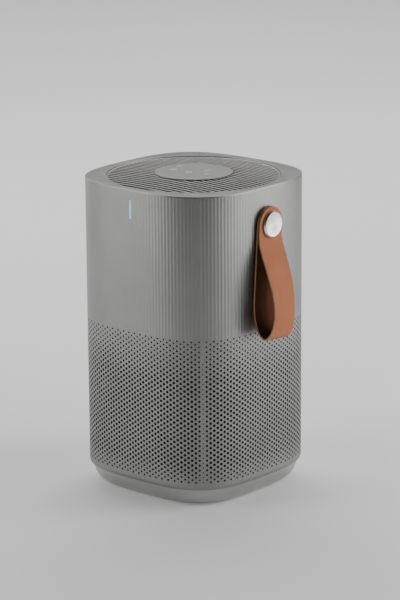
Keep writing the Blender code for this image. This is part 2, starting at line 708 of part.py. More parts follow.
def make_motor(axis):
    can = [
        (MOTOR_R - 1.5, MOTOR_TOP_Z), (MOTOR_R, MOTOR_TOP_Z), (MOTOR_R, MOTOR_BOTTOM_Z + 1.0),
        (MOTOR_R - 1.0, MOTOR_BOTTOM_Z), (SHAFT_R + 0.6, MOTOR_BOTTOM_Z),
        (SHAFT_R + 0.6, MOTOR_BOTTOM_Z + 1.2), (8.6, MOTOR_BOTTOM_Z + 1.2), (8.6, MOTOR_BOTTOM_Z + 2.4),
        (MOTOR_R - 1.5, MOTOR_BOTTOM_Z + 2.4),
    ]
    turned("motor_can", can, BLACK_PLASTIC, steps=24)
    shaft = rod("motor_shaft", SHAFT_R, 160.0, 214.6, STEEL, steps=16)
    magnet = ring("rotor_magnet", 10.5, SHAFT_R + GAP, 197.0, 207.0, MAGNET, steps=24)
    shaft.parent = axis
    magnet.parent = axis
    bore = SHAFT_R + GAP
    ring("bearing_lower", BEARING_R, bore, MOTOR_BOTTOM_Z + 1.6, MOTOR_BOTTOM_Z + 5.0, STEEL, steps=20)
    ring("bearing_upper", BEARING_R, bore, MOTOR_TOP_Z - 4.2, MOTOR_TOP_Z - 0.8, STEEL, steps=20)
    ring("stator_core", STATOR_R, 11.2, 198.0, 206.0, STEEL, steps=32)
    ring("stator_winding_lower", WINDING_R, 12.0, 195.0, 197.7, COPPER, steps=32)
    ring("stator_winding_upper", WINDING_R, 12.0, 206.3, 209.0, COPPER, steps=32)


def make_motor_mount():
    """A plate over the motor, held in the duct by straight vanes and a ring."""
    top = MOTOR_TOP_Z + MOUNT_THICKNESS
    plate = rod("motor_mount", MOTOR_R + 2.5, MOTOR_TOP_Z + GAP, top, BLACK_PLASTIC, steps=32)
    rim_low = VANE_LOW_Z - 1.0
    rim = [(DUCT_R - 2.4, top), (DUCT_R - 0.4, top), (DUCT_R - 0.4, rim_low), (DUCT_R - 2.4, rim_low)]
    for i in range(VANES):
        vane = cutter_block(
            "vane_%d" % i, (MOTOR_R + 0.6, -1.0, VANE_LOW_Z), (DUCT_R - 1.2, 1.0, top - 0.5))
        join(plate, turn_about_z(vane, 360.0 * i / VANES))
    join(plate, hide_tool(turned("vane_rim", rim, None, 36, CUTTERS)))
    for i in range(3):
        angle = math.radians(120.0 * i + 30.0)
        place = (17.0 * math.cos(angle), 17.0 * math.sin(angle))
        cut(plate, cutter_rod("mount_hole_%d" % i, SCREW_HOLE_R, MOTOR_TOP_Z - 2, top + 2, place, steps=12))
        screw("motor_screw_%d" % (i + 1), place, head_z=top + GAP, head_up=True, shank=7.0)


def make_main_board():
    board = block("main_board", (-15.0, -0.8, 160.0), (15.0, 0.8, 222.0), BOARD_GREEN)
    place = Matrix.Rotation(math.radians(45.0), 4, "Z") @ Matrix.Translation((0.0, mm(71.0), 0.0))
    board.data.transform(place)


# ---------------------------------------------------------------- strap

def strap_line(samples_per_span=2):
    """A smooth curve through the strap's centre-line points."""
    points = [Vector(p) for p in STRAP_LINE]
    padded = [points[0]] + points + [points[-1]]
    line = []
    for a, b, c, d in zip(padded, padded[1:], padded[2:], padded[3:]):
        for i in range(samples_per_span):
            t = i / samples_per_span
            line.append(0.5 * (
                2 * b + (c - a) * t + (2 * a - 5 * b + 4 * c - d) * t * t
                + (3 * b - a - 3 * c + d) * t ** 3))
    line.append(points[-1])
    return line


def strap_half_width(drop):
    """Full width, and a round end above the rivet."""
    if drop >= 0.0:
        return STRAP_HALF_WIDTH
    return math.sqrt(max(STRAP_HALF_WIDTH ** 2 - drop ** 2, 9.0))


def make_strap(axis):
    """One leather band, doubled into a loop, with both ends on the rivet."""
    shape = bmesh.new()
    rows = []
    for out, drop in strap_line():
        half = strap_half_width(drop)
        rows.append([shape.verts.new((mm(out), mm(side * half), mm(-drop))) for side in (-1, 0, 1)])
    for upper, lower in zip(rows, rows[1:]):
        for i in range(2):
            shape.faces.new((upper[i], upper[i + 1], lower[i + 1], lower[i]))
    mesh = bpy.data.meshes.new("carry_strap")
    shape.to_mesh(mesh)
    shape.free()
    strap = add_node("carry_strap", mesh, LEATHER)
    thick = strap.modifiers.new("leather", "SOLIDIFY")
    thick.thickness = mm(STRAP_THICKNESS)
    thick.offset = 0.0
    thick.use_even_offset = True
    hole = cutter_rod("strap_hole", RIVET_SHANK_R + GAP, -3.0, 9.0)
    hole.data.transform(Matrix.Rotation(math.pi / 2, 4, "Y"))
    cut(strap, hole)
    strap.parent = axis
    hole.parent = axis
    strap.rotation_euler.x = -math.radians(STRAP_TILT_DEG)


def make_strap_rivet():
    """A button-headed stud through both ends of the strap, with a washer and a nut inside."""
    top = RIVET_UNDER_CAP + RIVET_CAP_HEIGHT
    profile = [
        (0.0, top), (RIVET_CAP_R - 0.7, top), (RIVET_CAP_R, top - 0.7), (RIVET_CAP_R, RIVET_UNDER_CAP),
        (RIVET_SHANK_R, RIVET_UNDER_CAP), (RIVET_SHANK_R, RIVET_INNER_END), (0.0, RIVET_INNER_END),
    ]
    stud = turned("strap_rivet", profile, BRUSHED_STEEL, steps=32)
    washer = ring("strap_washer", 8.0, RIVET_SHANK_R + GAP, -WALL - 1.9, -WALL - 0.5, STEEL, steps=24)
    nut = rod("strap_nut", 7.0, -WALL - 6.0, -WALL - 2.2, STEEL, steps=6)
    cut(nut, point_in_place(cutter_rod("nut_bore", RIVET_SHANK_R + GAP, -12.0, 2.0)))
    for piece in (stud, washer):
        piece.matrix_world = strap_axis_matrix()
    nut.data.transform(strap_axis_matrix())
    nut.data.update()


def strap_axis_matrix():
    """From a shape turned about Z to the rivet's place, pointing out along +X."""
    place = Matrix.Translation((mm(HALF_WIDTH), 0.0, mm(RIVET_Z)))
    return place @ Matrix.Rotation(math.pi / 2, 4, "Y")


def point_in_place(obj):
    obj.data.transform(strap_axis_matrix())
    return obj


def main():
    rotor_axis = add_axis("rotor_axis", (0.0, 0.0, 0.0))
    cover_axis = add_axis("cover_axis", (0.0, 0.0, 0.0))
    strap_axis = add_axis("strap_axis", (HALF_WIDTH, 0.0, RIVET_Z))
    make_shell()
    make_top_bezel()
    make_grille()
    make_control_disc()
    make_status_light()
    make_base_tray()
    make_power_jack()
    make_feet_and_base_screws()
    make_filter_cover(cover_axis)
    make_filter()
    make_filter_cage()
    make_fan_deck()
    make_air_path()
    make_impeller(rotor_axis)
    make_motor(rotor_axis)
    make_motor_mount()
    make_main_board()
    make_strap(strap_axis)
    make_strap_rivet()


main()
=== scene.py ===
# The looks of a small room air purifier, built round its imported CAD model.
# The frame's axes: +Z up, the status light faces -Y and the strap hangs on +X.
# Sizes are in millimetres. mm() turns them into metres.
import json
import math

import bmesh
import bpy
import numpy as np
from mathutils import Matrix, Vector


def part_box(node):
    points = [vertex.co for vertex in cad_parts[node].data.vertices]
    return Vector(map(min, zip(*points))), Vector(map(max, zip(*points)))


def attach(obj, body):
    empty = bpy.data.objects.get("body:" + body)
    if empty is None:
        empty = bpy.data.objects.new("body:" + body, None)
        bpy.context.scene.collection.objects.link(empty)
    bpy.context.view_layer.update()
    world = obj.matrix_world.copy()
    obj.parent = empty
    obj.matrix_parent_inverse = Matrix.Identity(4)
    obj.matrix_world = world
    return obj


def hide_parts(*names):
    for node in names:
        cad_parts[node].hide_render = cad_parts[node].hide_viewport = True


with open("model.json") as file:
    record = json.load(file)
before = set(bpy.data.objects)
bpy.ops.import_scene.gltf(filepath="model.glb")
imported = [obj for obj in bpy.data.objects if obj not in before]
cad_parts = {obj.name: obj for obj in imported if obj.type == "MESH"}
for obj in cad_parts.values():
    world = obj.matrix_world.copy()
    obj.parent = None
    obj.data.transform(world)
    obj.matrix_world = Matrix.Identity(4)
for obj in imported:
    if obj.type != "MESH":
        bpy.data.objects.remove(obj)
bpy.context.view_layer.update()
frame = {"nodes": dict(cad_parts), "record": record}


def mm(value):
    return value * 0.001


def box_mm(node):
    """A CAD node's lowest and highest corner, in millimetres."""
    low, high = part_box(node)
    return low * 1000.0, high * 1000.0


# ---- body, read from the frame ----
HALF_WIDTH, _, RIM_Z = box_mm("top_bezel")[1]
SEAM_Z = box_mm("outer_shell")[0].z
SHELL_TOP_Z = box_mm("outer_shell")[1].z
BASE_TOP_Z = box_mm("base_tray")[1].z
BASE_BOTTOM_Z = box_mm("base_tray")[0].z
DISC_R, _, DISC_TOP_Z = box_mm("control_disc")[1]
GRILLE_R, _, GRILLE_TOP_Z = box_mm("outlet_grille")[1]
GRILLE_BOTTOM_Z = box_mm("outlet_grille")[0].z
LIGHT_TOP_Z = box_mm("status_light_board")[1].z - 0.5
LIGHT_BOTTOM_Z = box_mm("status_light_board")[0].z + 4.0
FOOT_HEIGHT = box_mm("foot_front_right")[1].z
RIVET_Z = (box_mm("strap_nut")[0].z + box_mm("strap_nut")[1].z) / 2

# ---- body ----
SQUARENESS = 3.19          # superellipse exponent of the plan
WALL = 2.2
GAP = 0.3                  # clearance between fitted parts
FINE = 512                 # points round the plan in the smooth visual shapes
SHELL_TUCK = 2.3           # the shell's lower edge is tucked in by this much
SHELL_TUCK_HEIGHT = 3.6

# ---- flutes and perforation ----
COLUMNS = 44               # flute columns on each of the four sides
FLUTE_DEPTH = 0.27         # at the corners; shallower towards the middle of each side
FLUTE_FADE = 0.35
SHEET = 0.9                # thickness of the perforated sheet
ROWS = 29
FIRST_ROW_Z = 140.5
LAST_ROW_Z = 22.7
ROW_PITCH = (FIRST_ROW_Z - LAST_ROW_Z) / (ROWS - 0.5)
LAST_HALF_STEP = 2 * ROWS
HOLE_R = 1.17
HOLE_SIDES = 12            # as many as there are points round a cell
TOP_HOLE_R = 0.74
GROWING_ROWS = 8
SHRINKING_ROWS = 4
ROW_SHRINK = 0.1           # radius lost in each shrinking row
SEAM_SHRINK = 0.88         # size of the holes beside a corner seam
DIMPLE_R = 0.55
DIMPLE_DEPTH = 0.7
DIMPLE_START_ROW = 4
FLAT_DIMPLE_R = 0.12       # above that row
LIGHT_COLUMN = COLUMNS // 2
LIGHT_SLOT_HALF = 1.03
LIGHT_SLOT_LEVEL = 2       # the light's slot lies under this mesh level
PLAIN_LEVELS = (205.0, 175.0)      # mesh levels between the light and the holes
QUARTERS = (-0.5, -0.25, 0.0, 0.25, 0.5)    # mesh lines across a column
LINER_INSET = 1.5          # the black net behind the perforation; it also stands in for the shade inside the body
LINER_THICKNESS = 0.5
LINER_BELOW = 3.0          # how far it passes the rows of holes
LINER_ABOVE = 2.0

# ---- top ----
SLAT_PITCH = 4.9
SLAT_WIDTH = 2.0
SLOT_FIELD_R = 70.7
GRILLE_DOME = 2.3
SLAT_DEPTH = 5.5
# the slat sides stay grey this far down; below it they are near-black painted shade for the shade deep in
# the slots
SLAT_GREY_DEPTH = 0.6
CONE_R = 69.5              # the ring slopes down to this radius, under the ends of the slats
CONE_DROP = 0.6
HUB_R = 29.0
DISC_THICKNESS = 0.6
DISC_ROLL = 0.5
RIM_ROLL = 0.55
RIM_JOINT = 0.05           # hairline between the rim and the shell
ICON_LINE = 0.75
ICON_Z = DISC_TOP_Z - 0.02
# middles of the printed symbols on the disc: (x, y)
ICON_PLACES = {
    "fan": (-23.0, 8.5), "clock": (-17.5, -5.0), "power": (-0.8, -5.0), "moon": (7.6, 8.6),
    "lock": (15.0, -1.8),
}

# ---- base and cover, as the CAD model has them ----
BASE_TOP_INSET = 2.6
BASE_BOTTOM_INSET = 12.65
BASE_CURVE_HEIGHT = 17.9
BASE_CURVE_EXPONENT = 1.87
BASE_WALL = 2.4
COLLAR_R = 57.0
COLLAR_WALL = 2.2
LEDGE_R = 54.8
LEDGE_Z = 6.0
LEDGE_THICKNESS = 2.5
FOOT_R = 5.5
FOOT_BOSS_R = 5.4
SCREW_HEAD_R = 3.3
SCREW_R = 1.8
CORNER_REACH = 66.0 / math.sqrt(2.0)
COVER_R = COLLAR_R - 0.6
COVER_NECK_R = LEDGE_R - 0.5
COVER_BOTTOM_Z = 1.6
COVER_TOP_Z = 10.6
GRIP_R = 30.0
GRIP_BAR_WIDTH = 9.0
GRIP_BAR_Z = 1.3
COVER_TWIST_DEG = 20.0
LUG_COUNT = 3
LUG_WIDTH = 9.0
LUG_CLEARANCE = 0.8
SOCKET_Z = 9.4
SOCKET_HOLE_R = 5.6

# ---- strap and rivet ----
RIVET_CAP_R = 11.0
RIVET_SHANK_R = 4.0
RIVET_SHANK_END = -9.0
RIVET_UNDER_CAP = 4.8
RIVET_CAP_HEIGHT = 2.2
STRAP_HALF_WIDTH = 14.3
STRAP_THICKNESS = 1.6
STRAP_TILT_DEG = 4.5
STRAP_SAMPLES = 6          # samples of its curve between two points
STRAP_STEPS = 12           # across the band
STRAP_EDGE = 0.8           # roundness of its edges
# centre line of the strap: (distance out from the wall, distance below the rivet)
STRAP_LINE = (
    (1.3, -14.0), (1.3, -7.0), (1.3, 0.0), (1.3, 20.0), (1.3, 42.0), (1.4, 60.0),
    (2.6, 74.0), (5.2, 82.0), (9.0, 88.5), (14.0, 91.6), (18.4, 88.5), (21.2, 82.0),
    (22.4, 74.0), (22.0, 64.0), (20.0, 54.0), (16.6, 44.0), (12.4, 34.0), (8.4, 25.0),
    (5.2, 17.5), (3.5, 11.0), (3.3, 5.0), (3.3, 0.0), (3.3, -7.0), (3.3, -14.0),
)
# twist of the band at points of that line, in degrees: the loop turns away from the front lower down
STRAP_TWIST = {10: -2.0, 11: -4.0, 12: -5.5, 13: -5.0, 14: -3.0, 16: 2.0, 17: 3.0, 18: 2.0}

# ---- camera ----
CAMERA_AZIMUTH = 40.94     # from -Y towards +X
CAMERA_ELEVATION = 15.35
CAMERA_DISTANCE = 2241.8
CAMERA_ROLL = 0.398
CAMERA_TARGET_Z = 130.0
CAMERA_LENS = 162.13
CAMERA_SHIFT = (0.00878, 0.0430)
TARGET = Vector((0.0, 0.0, mm(CAMERA_TARGET_Z)))

# ---- studio ----
STRIP_SIZE = (0.55, 1.6)   # metres, as are the distances
STRIP_ELEVATION = 16.0
STRIP_DISTANCE = 1.5
# strip lights: (azimuth relative to the camera, watts)
STRIPS = {
    "left": (-75.0, 8.7), "left_side": (-95.0, 4.1), "far_left": (-135.0, 3.8),
    "near_right": (55.0, 2.7), "right": (75.0, 7.3), "right_side": (95.0, 12.9),
}


# ---- materials ----

class Finish:
    """A procedural material: a Principled shader with the helpers that feed it."""

    def __init__(self, name, roughness, metallic=0.0):
        self.material = bpy.data.materials.new(name)
        self.material.use_nodes = True
        self.tree = self.material.node_tree
        self.shader = self.tree.nodes["Principled BSDF"]
        self.set("Roughness", roughness)
        self.set("Metallic", metallic)
        self.place = self.node("ShaderNodeTexCoord").outputs["Object"]
        self.height = None

    def node(self, kind, **settings):
        made = self.tree.nodes.new(kind)
        for key, value in settings.items():
            setattr(made, key, value)
        return made

    def set(self, socket, value):
        self.shader.inputs[socket].default_value = value

    def link(self, output, target):
        self.tree.links.new(output, target)

    def stretched(self, scale):
        """The object's coordinates, scaled by (x, y, z)."""
        mapping = self.node("ShaderNodeMapping")
        mapping.inputs["Scale"].default_value = scale
        self.link(self.place, mapping.inputs["Vector"])
        return mapping.outputs["Vector"]

    def noise(self, scale, detail=3.0, stretch=(1.0, 1.0, 1.0), roughness=0.5):
        made = self.node("ShaderNodeTexNoise")
        made.inputs["Scale"].default_value = scale
        made.inputs["Detail"].default_value = detail
        made.inputs["Roughness"].default_value = roughness
        self.link(self.stretched(stretch), made.inputs["Vector"])
        return made.outputs["Fac"]

    def spots(self, scale):
        """Distance to the nearest of scattered points: pores and pebbles."""
        made = self.node("ShaderNodeTexVoronoi")
        made.inputs["Scale"].default_value = scale
        self.link(self.place, made.inputs["Vector"])
        return made.outputs["Distance"]

    def range(self, value, low, high, from_low=0.3, from_high=0.7):
        made = self.node("ShaderNodeMapRange")
        for socket, number in zip(("From Min", "From Max", "To Min", "To Max"),
                                  (from_low, from_high, low, high)):
            made.inputs[socket].default_value = number
        self.link(value, made.inputs["Value"])
        return made.outputs["Result"]

    def blend(self, factor, first, second):
        """A colour between two colours; each is a tuple or a socket."""
        made = self.node("ShaderNodeMix", data_type="RGBA")
        self.link(factor, made.inputs["Factor"])
        for socket, colour in zip((made.inputs[6], made.inputs[7]), (first, second)):
            if isinstance(colour, tuple):
                socket.default_value = (*colour, 1.0)
            else:
                self.link(colour, socket)
        return made.outputs[2]

    def colour(self, base, spread, scale, stretch=(1.0, 1.0, 1.0)):
        """Base colour with soft mottling of plus or minus spread."""
        dark = tuple(c * (1.0 - spread) for c in base)
        light = tuple(min(c * (1.0 + spread), 1.0) for c in base)
        mixed = self.blend(self.range(self.noise(scale, 4.0, stretch), 0.0, 1.0), dark, light)
        self.link(mixed, self.shader.inputs["Base Color"])
        return mixed

    def vary_roughness(self, low, high, scale, stretch=(1.0, 1.0, 1.0)):
        self.link(self.range(self.noise(scale, 4.0, stretch), low, high), self.shader.inputs["Roughness"])

    def bump(self, value, distance_mm, strength=1.0):
        """Add a layer of bump on top of those already there."""
        made = self.node("ShaderNodeBump")
        made.inputs["Strength"].default_value = strength
        made.inputs["Distance"].default_value = mm(distance_mm)
        self.link(value, made.inputs["Height"])
        if self.height is not None:
            self.link(self.height, made.inputs["Normal"])
        self.height = made.outputs["Normal"]
        self.link(self.height, self.shader.inputs["Normal"])


def metallic_paint(name, colour):
    """Satin metallic grey paint: fine flake, faint orange peel and softly uneven gloss."""
    paint = Finish(name, 0.36, 0.9)
    paint.colour(colour, 0.05, 28.0)
    paint.vary_roughness(0.32, 0.40, 160.0)
    paint.bump(paint.noise(2600.0, 2.0), 0.012, 0.5)
    paint.bump(paint.noise(240.0, 2.0), 0.02, 0.35)
    paint.set("Specular IOR Level", 0.45)
    return paint.material


def moulded_plastic(name, colour, roughness):
    """Moulded plastic with a fine spark-eroded grain and slightly uneven gloss."""
    plastic = Finish(name, roughness)
    plastic.colour(colour, 0.06, 35.0)
    plastic.vary_roughness(roughness - 0.06, roughness + 0.06, 120.0)
    plastic.bump(plastic.noise(2200.0, 3.0), 0.02, 0.6)
    return plastic.material


def glowing_lens(name):
    """A pale blue light pipe with fine moulding ripples."""
    lens = Finish(name, 0.25)
    tint = lens.colour((0.42, 0.74, 0.86), 0.05, 60.0)
    lens.link(tint, lens.shader.inputs["Emission Color"])
    lens.set("Emission Strength", 0.55)
    lens.vary_roughness(0.2, 0.32, 200.0)
    lens.bump(lens.noise(900.0, 2.0, (1.0, 1.0, 0.2)), 0.01, 0.4)
    return lens.material


def leather_grain_side(name):
    """Smooth vegetable-tanned leather: pebbled pores, fine creases, darker and redder patches."""
    leather = Finish(name, 0.5)
    base = leather.colour((0.45, 0.145, 0.062), 0.10, 30.0, (1.0, 1.0, 0.5))
    warm = leather.range(leather.noise(75.0, 5.0), 0.0, 0.28, 0.45, 0.75)
    mixed = leather.blend(warm, base, (0.49, 0.18, 0.083))
    pores = leather.range(leather.spots(1500.0), 0.0, 0.25, 0.0, 0.35)
    spotted = leather.blend(pores, (0.27, 0.08, 0.034), mixed)
    deep = leather.blend(leather.range(leather.spots(1500.0), 0.35, 1.0, 0.0, 0.3), spotted, mixed)
    leather.link(deep, leather.shader.inputs["Base Color"])
    leather.vary_roughness(0.52, 0.66, 90.0)
    leather.bump(leather.spots(1300.0), 0.05, 0.35)
    leather.bump(leather.noise(420.0, 5.0, (1.0, 1.0, 0.45)), 0.06, 0.4)
    leather.bump(leather.noise(60.0, 3.0), 0.12, 0.3)
    leather.set("Specular IOR Level", 0.22)
    return leather.material


def leather_flesh_side_and_shade(name):
    """The band's rough inner side: suede with loose fibres; its dark brown is partly the suede's own
    colour and partly painted shade from inside the loop.
    """
    flesh = Finish(name, 0.85)
    # dark brown: partly painted shade from inside the loop
    flesh.colour((0.125, 0.043, 0.019), 0.22, 180.0, (1.0, 1.0, 0.4))
    flesh.vary_roughness(0.78, 0.92, 260.0)
    flesh.bump(flesh.noise(1400.0, 6.0, (1.0, 1.0, 0.35), 0.7), 0.09, 0.7)
    flesh.set("Specular IOR Level", 0.12)
    return flesh.material


def leather_edge(name):
    """The cut edge of the band: lighter, burnished, with layered fibre lines along it."""
    edge = Finish(name, 0.6)
    edge.colour((0.50, 0.27, 0.15), 0.14, 260.0, (1.0, 1.0, 0.3))
    edge.vary_roughness(0.5, 0.7, 300.0)
    edge.bump(edge.noise(1500.0, 4.0, (1.0, 1.0, 0.25)), 0.05, 0.6)
    return edge.material


def spun_metal(name):
    """Steel faced on a lathe: fine rings about X, which spread a highlight into spokes."""
    metal = Finish(name, 0.28, 1.0)
    metal.set("Anisotropic", 0.75)
    metal.colour((0.80, 0.81, 0.80), 0.03, 90.0)
    flat = metal.node("ShaderNodeMapping")
    flat.inputs["Scale"].default_value = (0.0, 1.0, 1.0)
    flat.inputs["Location"].default_value = (0.0, 0.0, -mm(RIVET_Z))
    metal.link(metal.place, flat.inputs["Vector"])
    radius = metal.node("ShaderNodeVectorMath", operation="LENGTH")
    metal.link(flat.outputs["Vector"], radius.inputs[0])
    rings = metal.node("ShaderNodeTexNoise", noise_dimensions="1D")
    rings.inputs["Scale"].default_value = 5200.0
    rings.inputs["Detail"].default_value = 2.0
    metal.link(radius.outputs["Value"], rings.inputs["W"])
    metal.bump(rings.outputs["Fac"], 0.01, 0.5)
    metal.link(metal.range(rings.outputs["Fac"], 0.24, 0.36), metal.shader.inputs["Roughness"])
    around = metal.node("ShaderNodeTangent", direction_type="RADIAL", axis="X")
    metal.link(around.outputs["Tangent"], metal.shader.inputs["Tangent"])
    return metal.material


def brushed_metal(name, colour, roughness, stretch=(1.0, 1.0, 12.0), scale=300.0):
    metal = Finish(name, roughness, 1.0)
    metal.colour(colour, 0.06, 50.0)
    metal.vary_roughness(roughness - 0.07, roughness + 0.08, scale, stretch)
    metal.bump(metal.noise(scale * 3.0, 3.0, stretch), 0.008, 0.4)
    return metal.material


def wound_wire(name, colour):
    """Enamelled wire: turns that show as fine bands, in slightly uneven layers."""
    wire = Finish(name, 0.35, 0.9)
    wire.colour(colour, 0.12, 120.0)
    bands = wire.node("ShaderNodeTexWave", wave_type="BANDS", bands_direction="Z")
    bands.inputs["Scale"].default_value = 420.0
    bands.inputs["Distortion"].default_value = 1.5
    wire.link(wire.place, bands.inputs["Vector"])
    wire.bump(bands.outputs["Fac"], 0.12, 0.8)
    wire.vary_roughness(0.28, 0.45, 200.0)
    return wire.material


def circuit_board(name):
    """Solder mask with faint copper tracks under it and small pads."""
    board = Finish(name, 0.4)
    base = board.colour((0.015, 0.13, 0.055), 0.12, 60.0)
    tracks = board.node("ShaderNodeTexBrick")
    tracks.inputs["Scale"].default_value = 120.0
    tracks.inputs["Mortar Size"].default_value = 0.03
    board.link(board.place, tracks.inputs["Vector"])
    lit = board.blend(board.range(tracks.outputs["Fac"], 0.0, 0.55, 0.0, 1.0), base, (0.04, 0.26, 0.11))
    board.link(lit, board.shader.inputs["Base Color"])
    board.bump(tracks.outputs["Fac"], 0.03, 0.5)
    board.vary_roughness(0.32, 0.48, 160.0)
    return board.material


def filter_fleece(name, colour):
    """Pleated paper or carbon fleece: random fibres with a fuzzy surface."""
    fleece = Finish(name, 0.92)
    fleece.colour(colour, 0.12, 900.0)
    fleece.vary_roughness(0.86, 0.97, 300.0)
    fleece.bump(fleece.noise(1600.0, 6.0, roughness=0.7), 0.12, 0.8)
    fleece.set("Sheen Weight", 0.1)
    return fleece.material


def foam_pores(name):
    foam = Finish(name, 0.95)
    foam.colour((0.05, 0.05, 0.052), 0.15, 400.0)
    foam.vary_roughness(0.9, 0.98, 500.0)
    foam.bump(foam.spots(1100.0), 0.25, 0.9)
    return foam.material


def soft_rubber(name):
    rubber = Finish(name, 0.75)
    rubber.colour((0.03, 0.03, 0.031), 0.15, 140.0)
    rubber.vary_roughness(0.68, 0.84, 220.0)
    rubber.bump(rubber.noise(1500.0, 4.0), 0.03, 0.6)
    return rubber.material


def studio_floor(name):
    floor = Finish(name, 0.85)
    floor.colour((0.9, 0.9, 0.9), 0.01, 6.0)
    floor.vary_roughness(0.8, 0.9, 20.0)
    floor.set("Specular IOR Level", 0.1)
    floor.set("Emission Color", (1.0, 1.0, 1.0, 1.0))
    floor.set("Emission Strength", 0.12)
    return floor.material


SHELL_PAINT = metallic_paint("shell_paint", (0.275, 0.275, 0.268))
# darker than the shell paint: painted shade for the dark slots between the slats
GRILLE_PAINT_AND_SHADE = metallic_paint("grille_paint_and_shade", (0.215, 0.213, 0.202))
# lighter than the shell paint: painted light that makes up for the shade on the base's downward-facing
# bowl
BASE_PAINT_AND_LIGHT = metallic_paint("base_paint_and_light", (0.42, 0.42, 0.403))
# near-black painted shade: hole walls, the sheet's inner face, seam dimples and deep slat sides take it so
# they read dark
PAINTED_SHADE = moulded_plastic("painted_shade_black", (0.012, 0.012, 0.012), 0.7)
DISC_PLASTIC = moulded_plastic("disc_plastic", (0.29, 0.30, 0.27), 0.45)
ICON_PRINT = moulded_plastic("icon_print", (0.85, 0.88, 0.85), 0.45)
BASE_PLASTIC = moulded_plastic("cover_plastic", (0.2, 0.2, 0.193), 0.5)
BLACK_PLASTIC = moulded_plastic("black_plastic", (0.018, 0.018, 0.019), 0.5)
WHITE_PLASTIC = moulded_plastic("white_plastic", (0.72, 0.72, 0.70), 0.45)
LIGHT_LENS = glowing_lens("pale_blue_lens")
LEATHER = leather_grain_side("tan_leather")
LEATHER_BACK_AND_SHADE = leather_flesh_side_and_shade("leather_flesh_side_and_shade")
LEATHER_EDGE = leather_edge("leather_cut_edge")
SPUN_STEEL = spun_metal("spun_steel")
STEEL = brushed_metal("steel", (0.6, 0.6, 0.61), 0.33)
MAGNET = brushed_metal("sintered_magnet", (0.13, 0.13, 0.14), 0.5, (1.0, 1.0, 1.0), 900.0)
COPPER = wound_wire("copper_winding", (0.7, 0.32, 0.14))
BOARD = circuit_board("circuit_board")
PAPER = filter_fleece("filter_paper", (0.8, 0.8, 0.77))
CARBON = filter_fleece("carbon_mesh", (0.02, 0.02, 0.021))
FOAM = foam_pores("foam")
RUBBER = soft_rubber("rubber")

SLOT_MATERIALS = {
    "shell_grey": SHELL_PAINT, "disc_grey": DISC_PLASTIC, "base_grey": BASE_PAINT_AND_LIGHT,
    "light_lens": LIGHT_LENS, "circuit_board": BOARD, "black_plastic": BLACK_PLASTIC,
    "white_plastic": WHITE_PLASTIC, "filter_paper": PAPER, "carbon_mesh": CARBON, "foam": FOAM,
    "rubber": RUBBER, "steel": STEEL, "brushed_steel": SPUN_STEEL, "copper": COPPER,
    "magnet": MAGNET, "tan_leather": LEATHER,
}


# ---- shape helpers ----

def place_object(name, data):
    made = bpy.data.objects.new(name, data)
    bpy.context.scene.collection.objects.link(made)
    return made


def metre_mesh(name, shape):
    """Turn a bmesh in millimetres into a mesh in metres."""
    mesh = bpy.data.meshes.new(name)
    bmesh.ops.scale(shape, verts=shape.verts, vec=(0.001, 0.001, 0.001))
    shape.to_mesh(mesh)
    shape.free()
    return mesh


def add_piece(name, shape, materials, body, replaced=(), sharp_deg=40.0):
    """Turn a bmesh in millimetres into a named piece that rides on a body."""
    mesh = metre_mesh(name, shape)
    for material in materials:
        mesh.materials.append(material)
    mesh.shade_smooth()
    mesh.set_sharp_from_angle(angle=math.radians(sharp_deg))
    piece = place_object(name, mesh)
    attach(piece, body)
    if replaced:
        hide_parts(*replaced)


def face_outwards(shape):
    bmesh.ops.recalc_face_normals(shape, faces=shape.faces)


def move(shape, x, y, z):
    bmesh.ops.translate(shape, verts=shape.verts, vec=(x, y, z))


def rotate(shape, degrees, axis="Z"):
    matrix = Matrix.Rotation(math.radians(degrees), 3, axis)
    bmesh.ops.rotate(shape, verts=shape.verts, cent=(0.0, 0.0, 0.0), matrix=matrix)
    return shape


def plan_normal(x, y):
    """Outward normal of the body's plan at a point of it; works on arrays."""
    nx = np.sign(x) * np.abs(x) ** (SQUARENESS - 1.0)
    ny = np.sign(y) * np.abs(y) ** (SQUARENESS - 1.0)
    length = np.hypot(nx, ny)
    return nx / length, ny / length


def plan_points(inset, angles):
    """Points of the soft-cornered square plan, moved inwards by inset along its normal."""
    c = np.cos(angles)
    s = np.sin(angles)
    radius = HALF_WIDTH * (np.abs(c) ** SQUARENESS + np.abs(s) ** SQUARENESS) ** (-1.0 / SQUARENESS)
    x = radius * c
    y = radius * s
    nx, ny = plan_normal(x, y)
    return x - inset * nx, y - inset * ny


def square_level(inset, z, count):
    x, y = plan_points(inset, np.arange(count) * math.tau / count)
    return [(a, b, z) for a, b in zip(x, y)]


def circle_level(radius, z, count):
    angles = np.arange(count) * math.tau / count
    return [(radius * math.cos(a), radius * math.sin(a), z) for a in angles]


def loft(shape, levels, closed=True):
    """Join each level's loop to the next; a closed loft also joins the last to the first."""
    rings = [[shape.verts.new(p) for p in level] for level in levels]
    count = len(rings[0])
    pairs = list(zip(rings, rings[1:]))
    if closed:
        pairs.append((rings[-1], rings[0]))
    for lower, upper in pairs:
        for i in range(count):
            j = (i + 1) % count
            shape.faces.new((lower[i], lower[j], upper[j], upper[i]))
    return rings


def loft_shape(levels):
    """A closed loft that faces outwards."""
    shape = bmesh.new()
    loft(shape, levels)
    face_outwards(shape)
    return shape


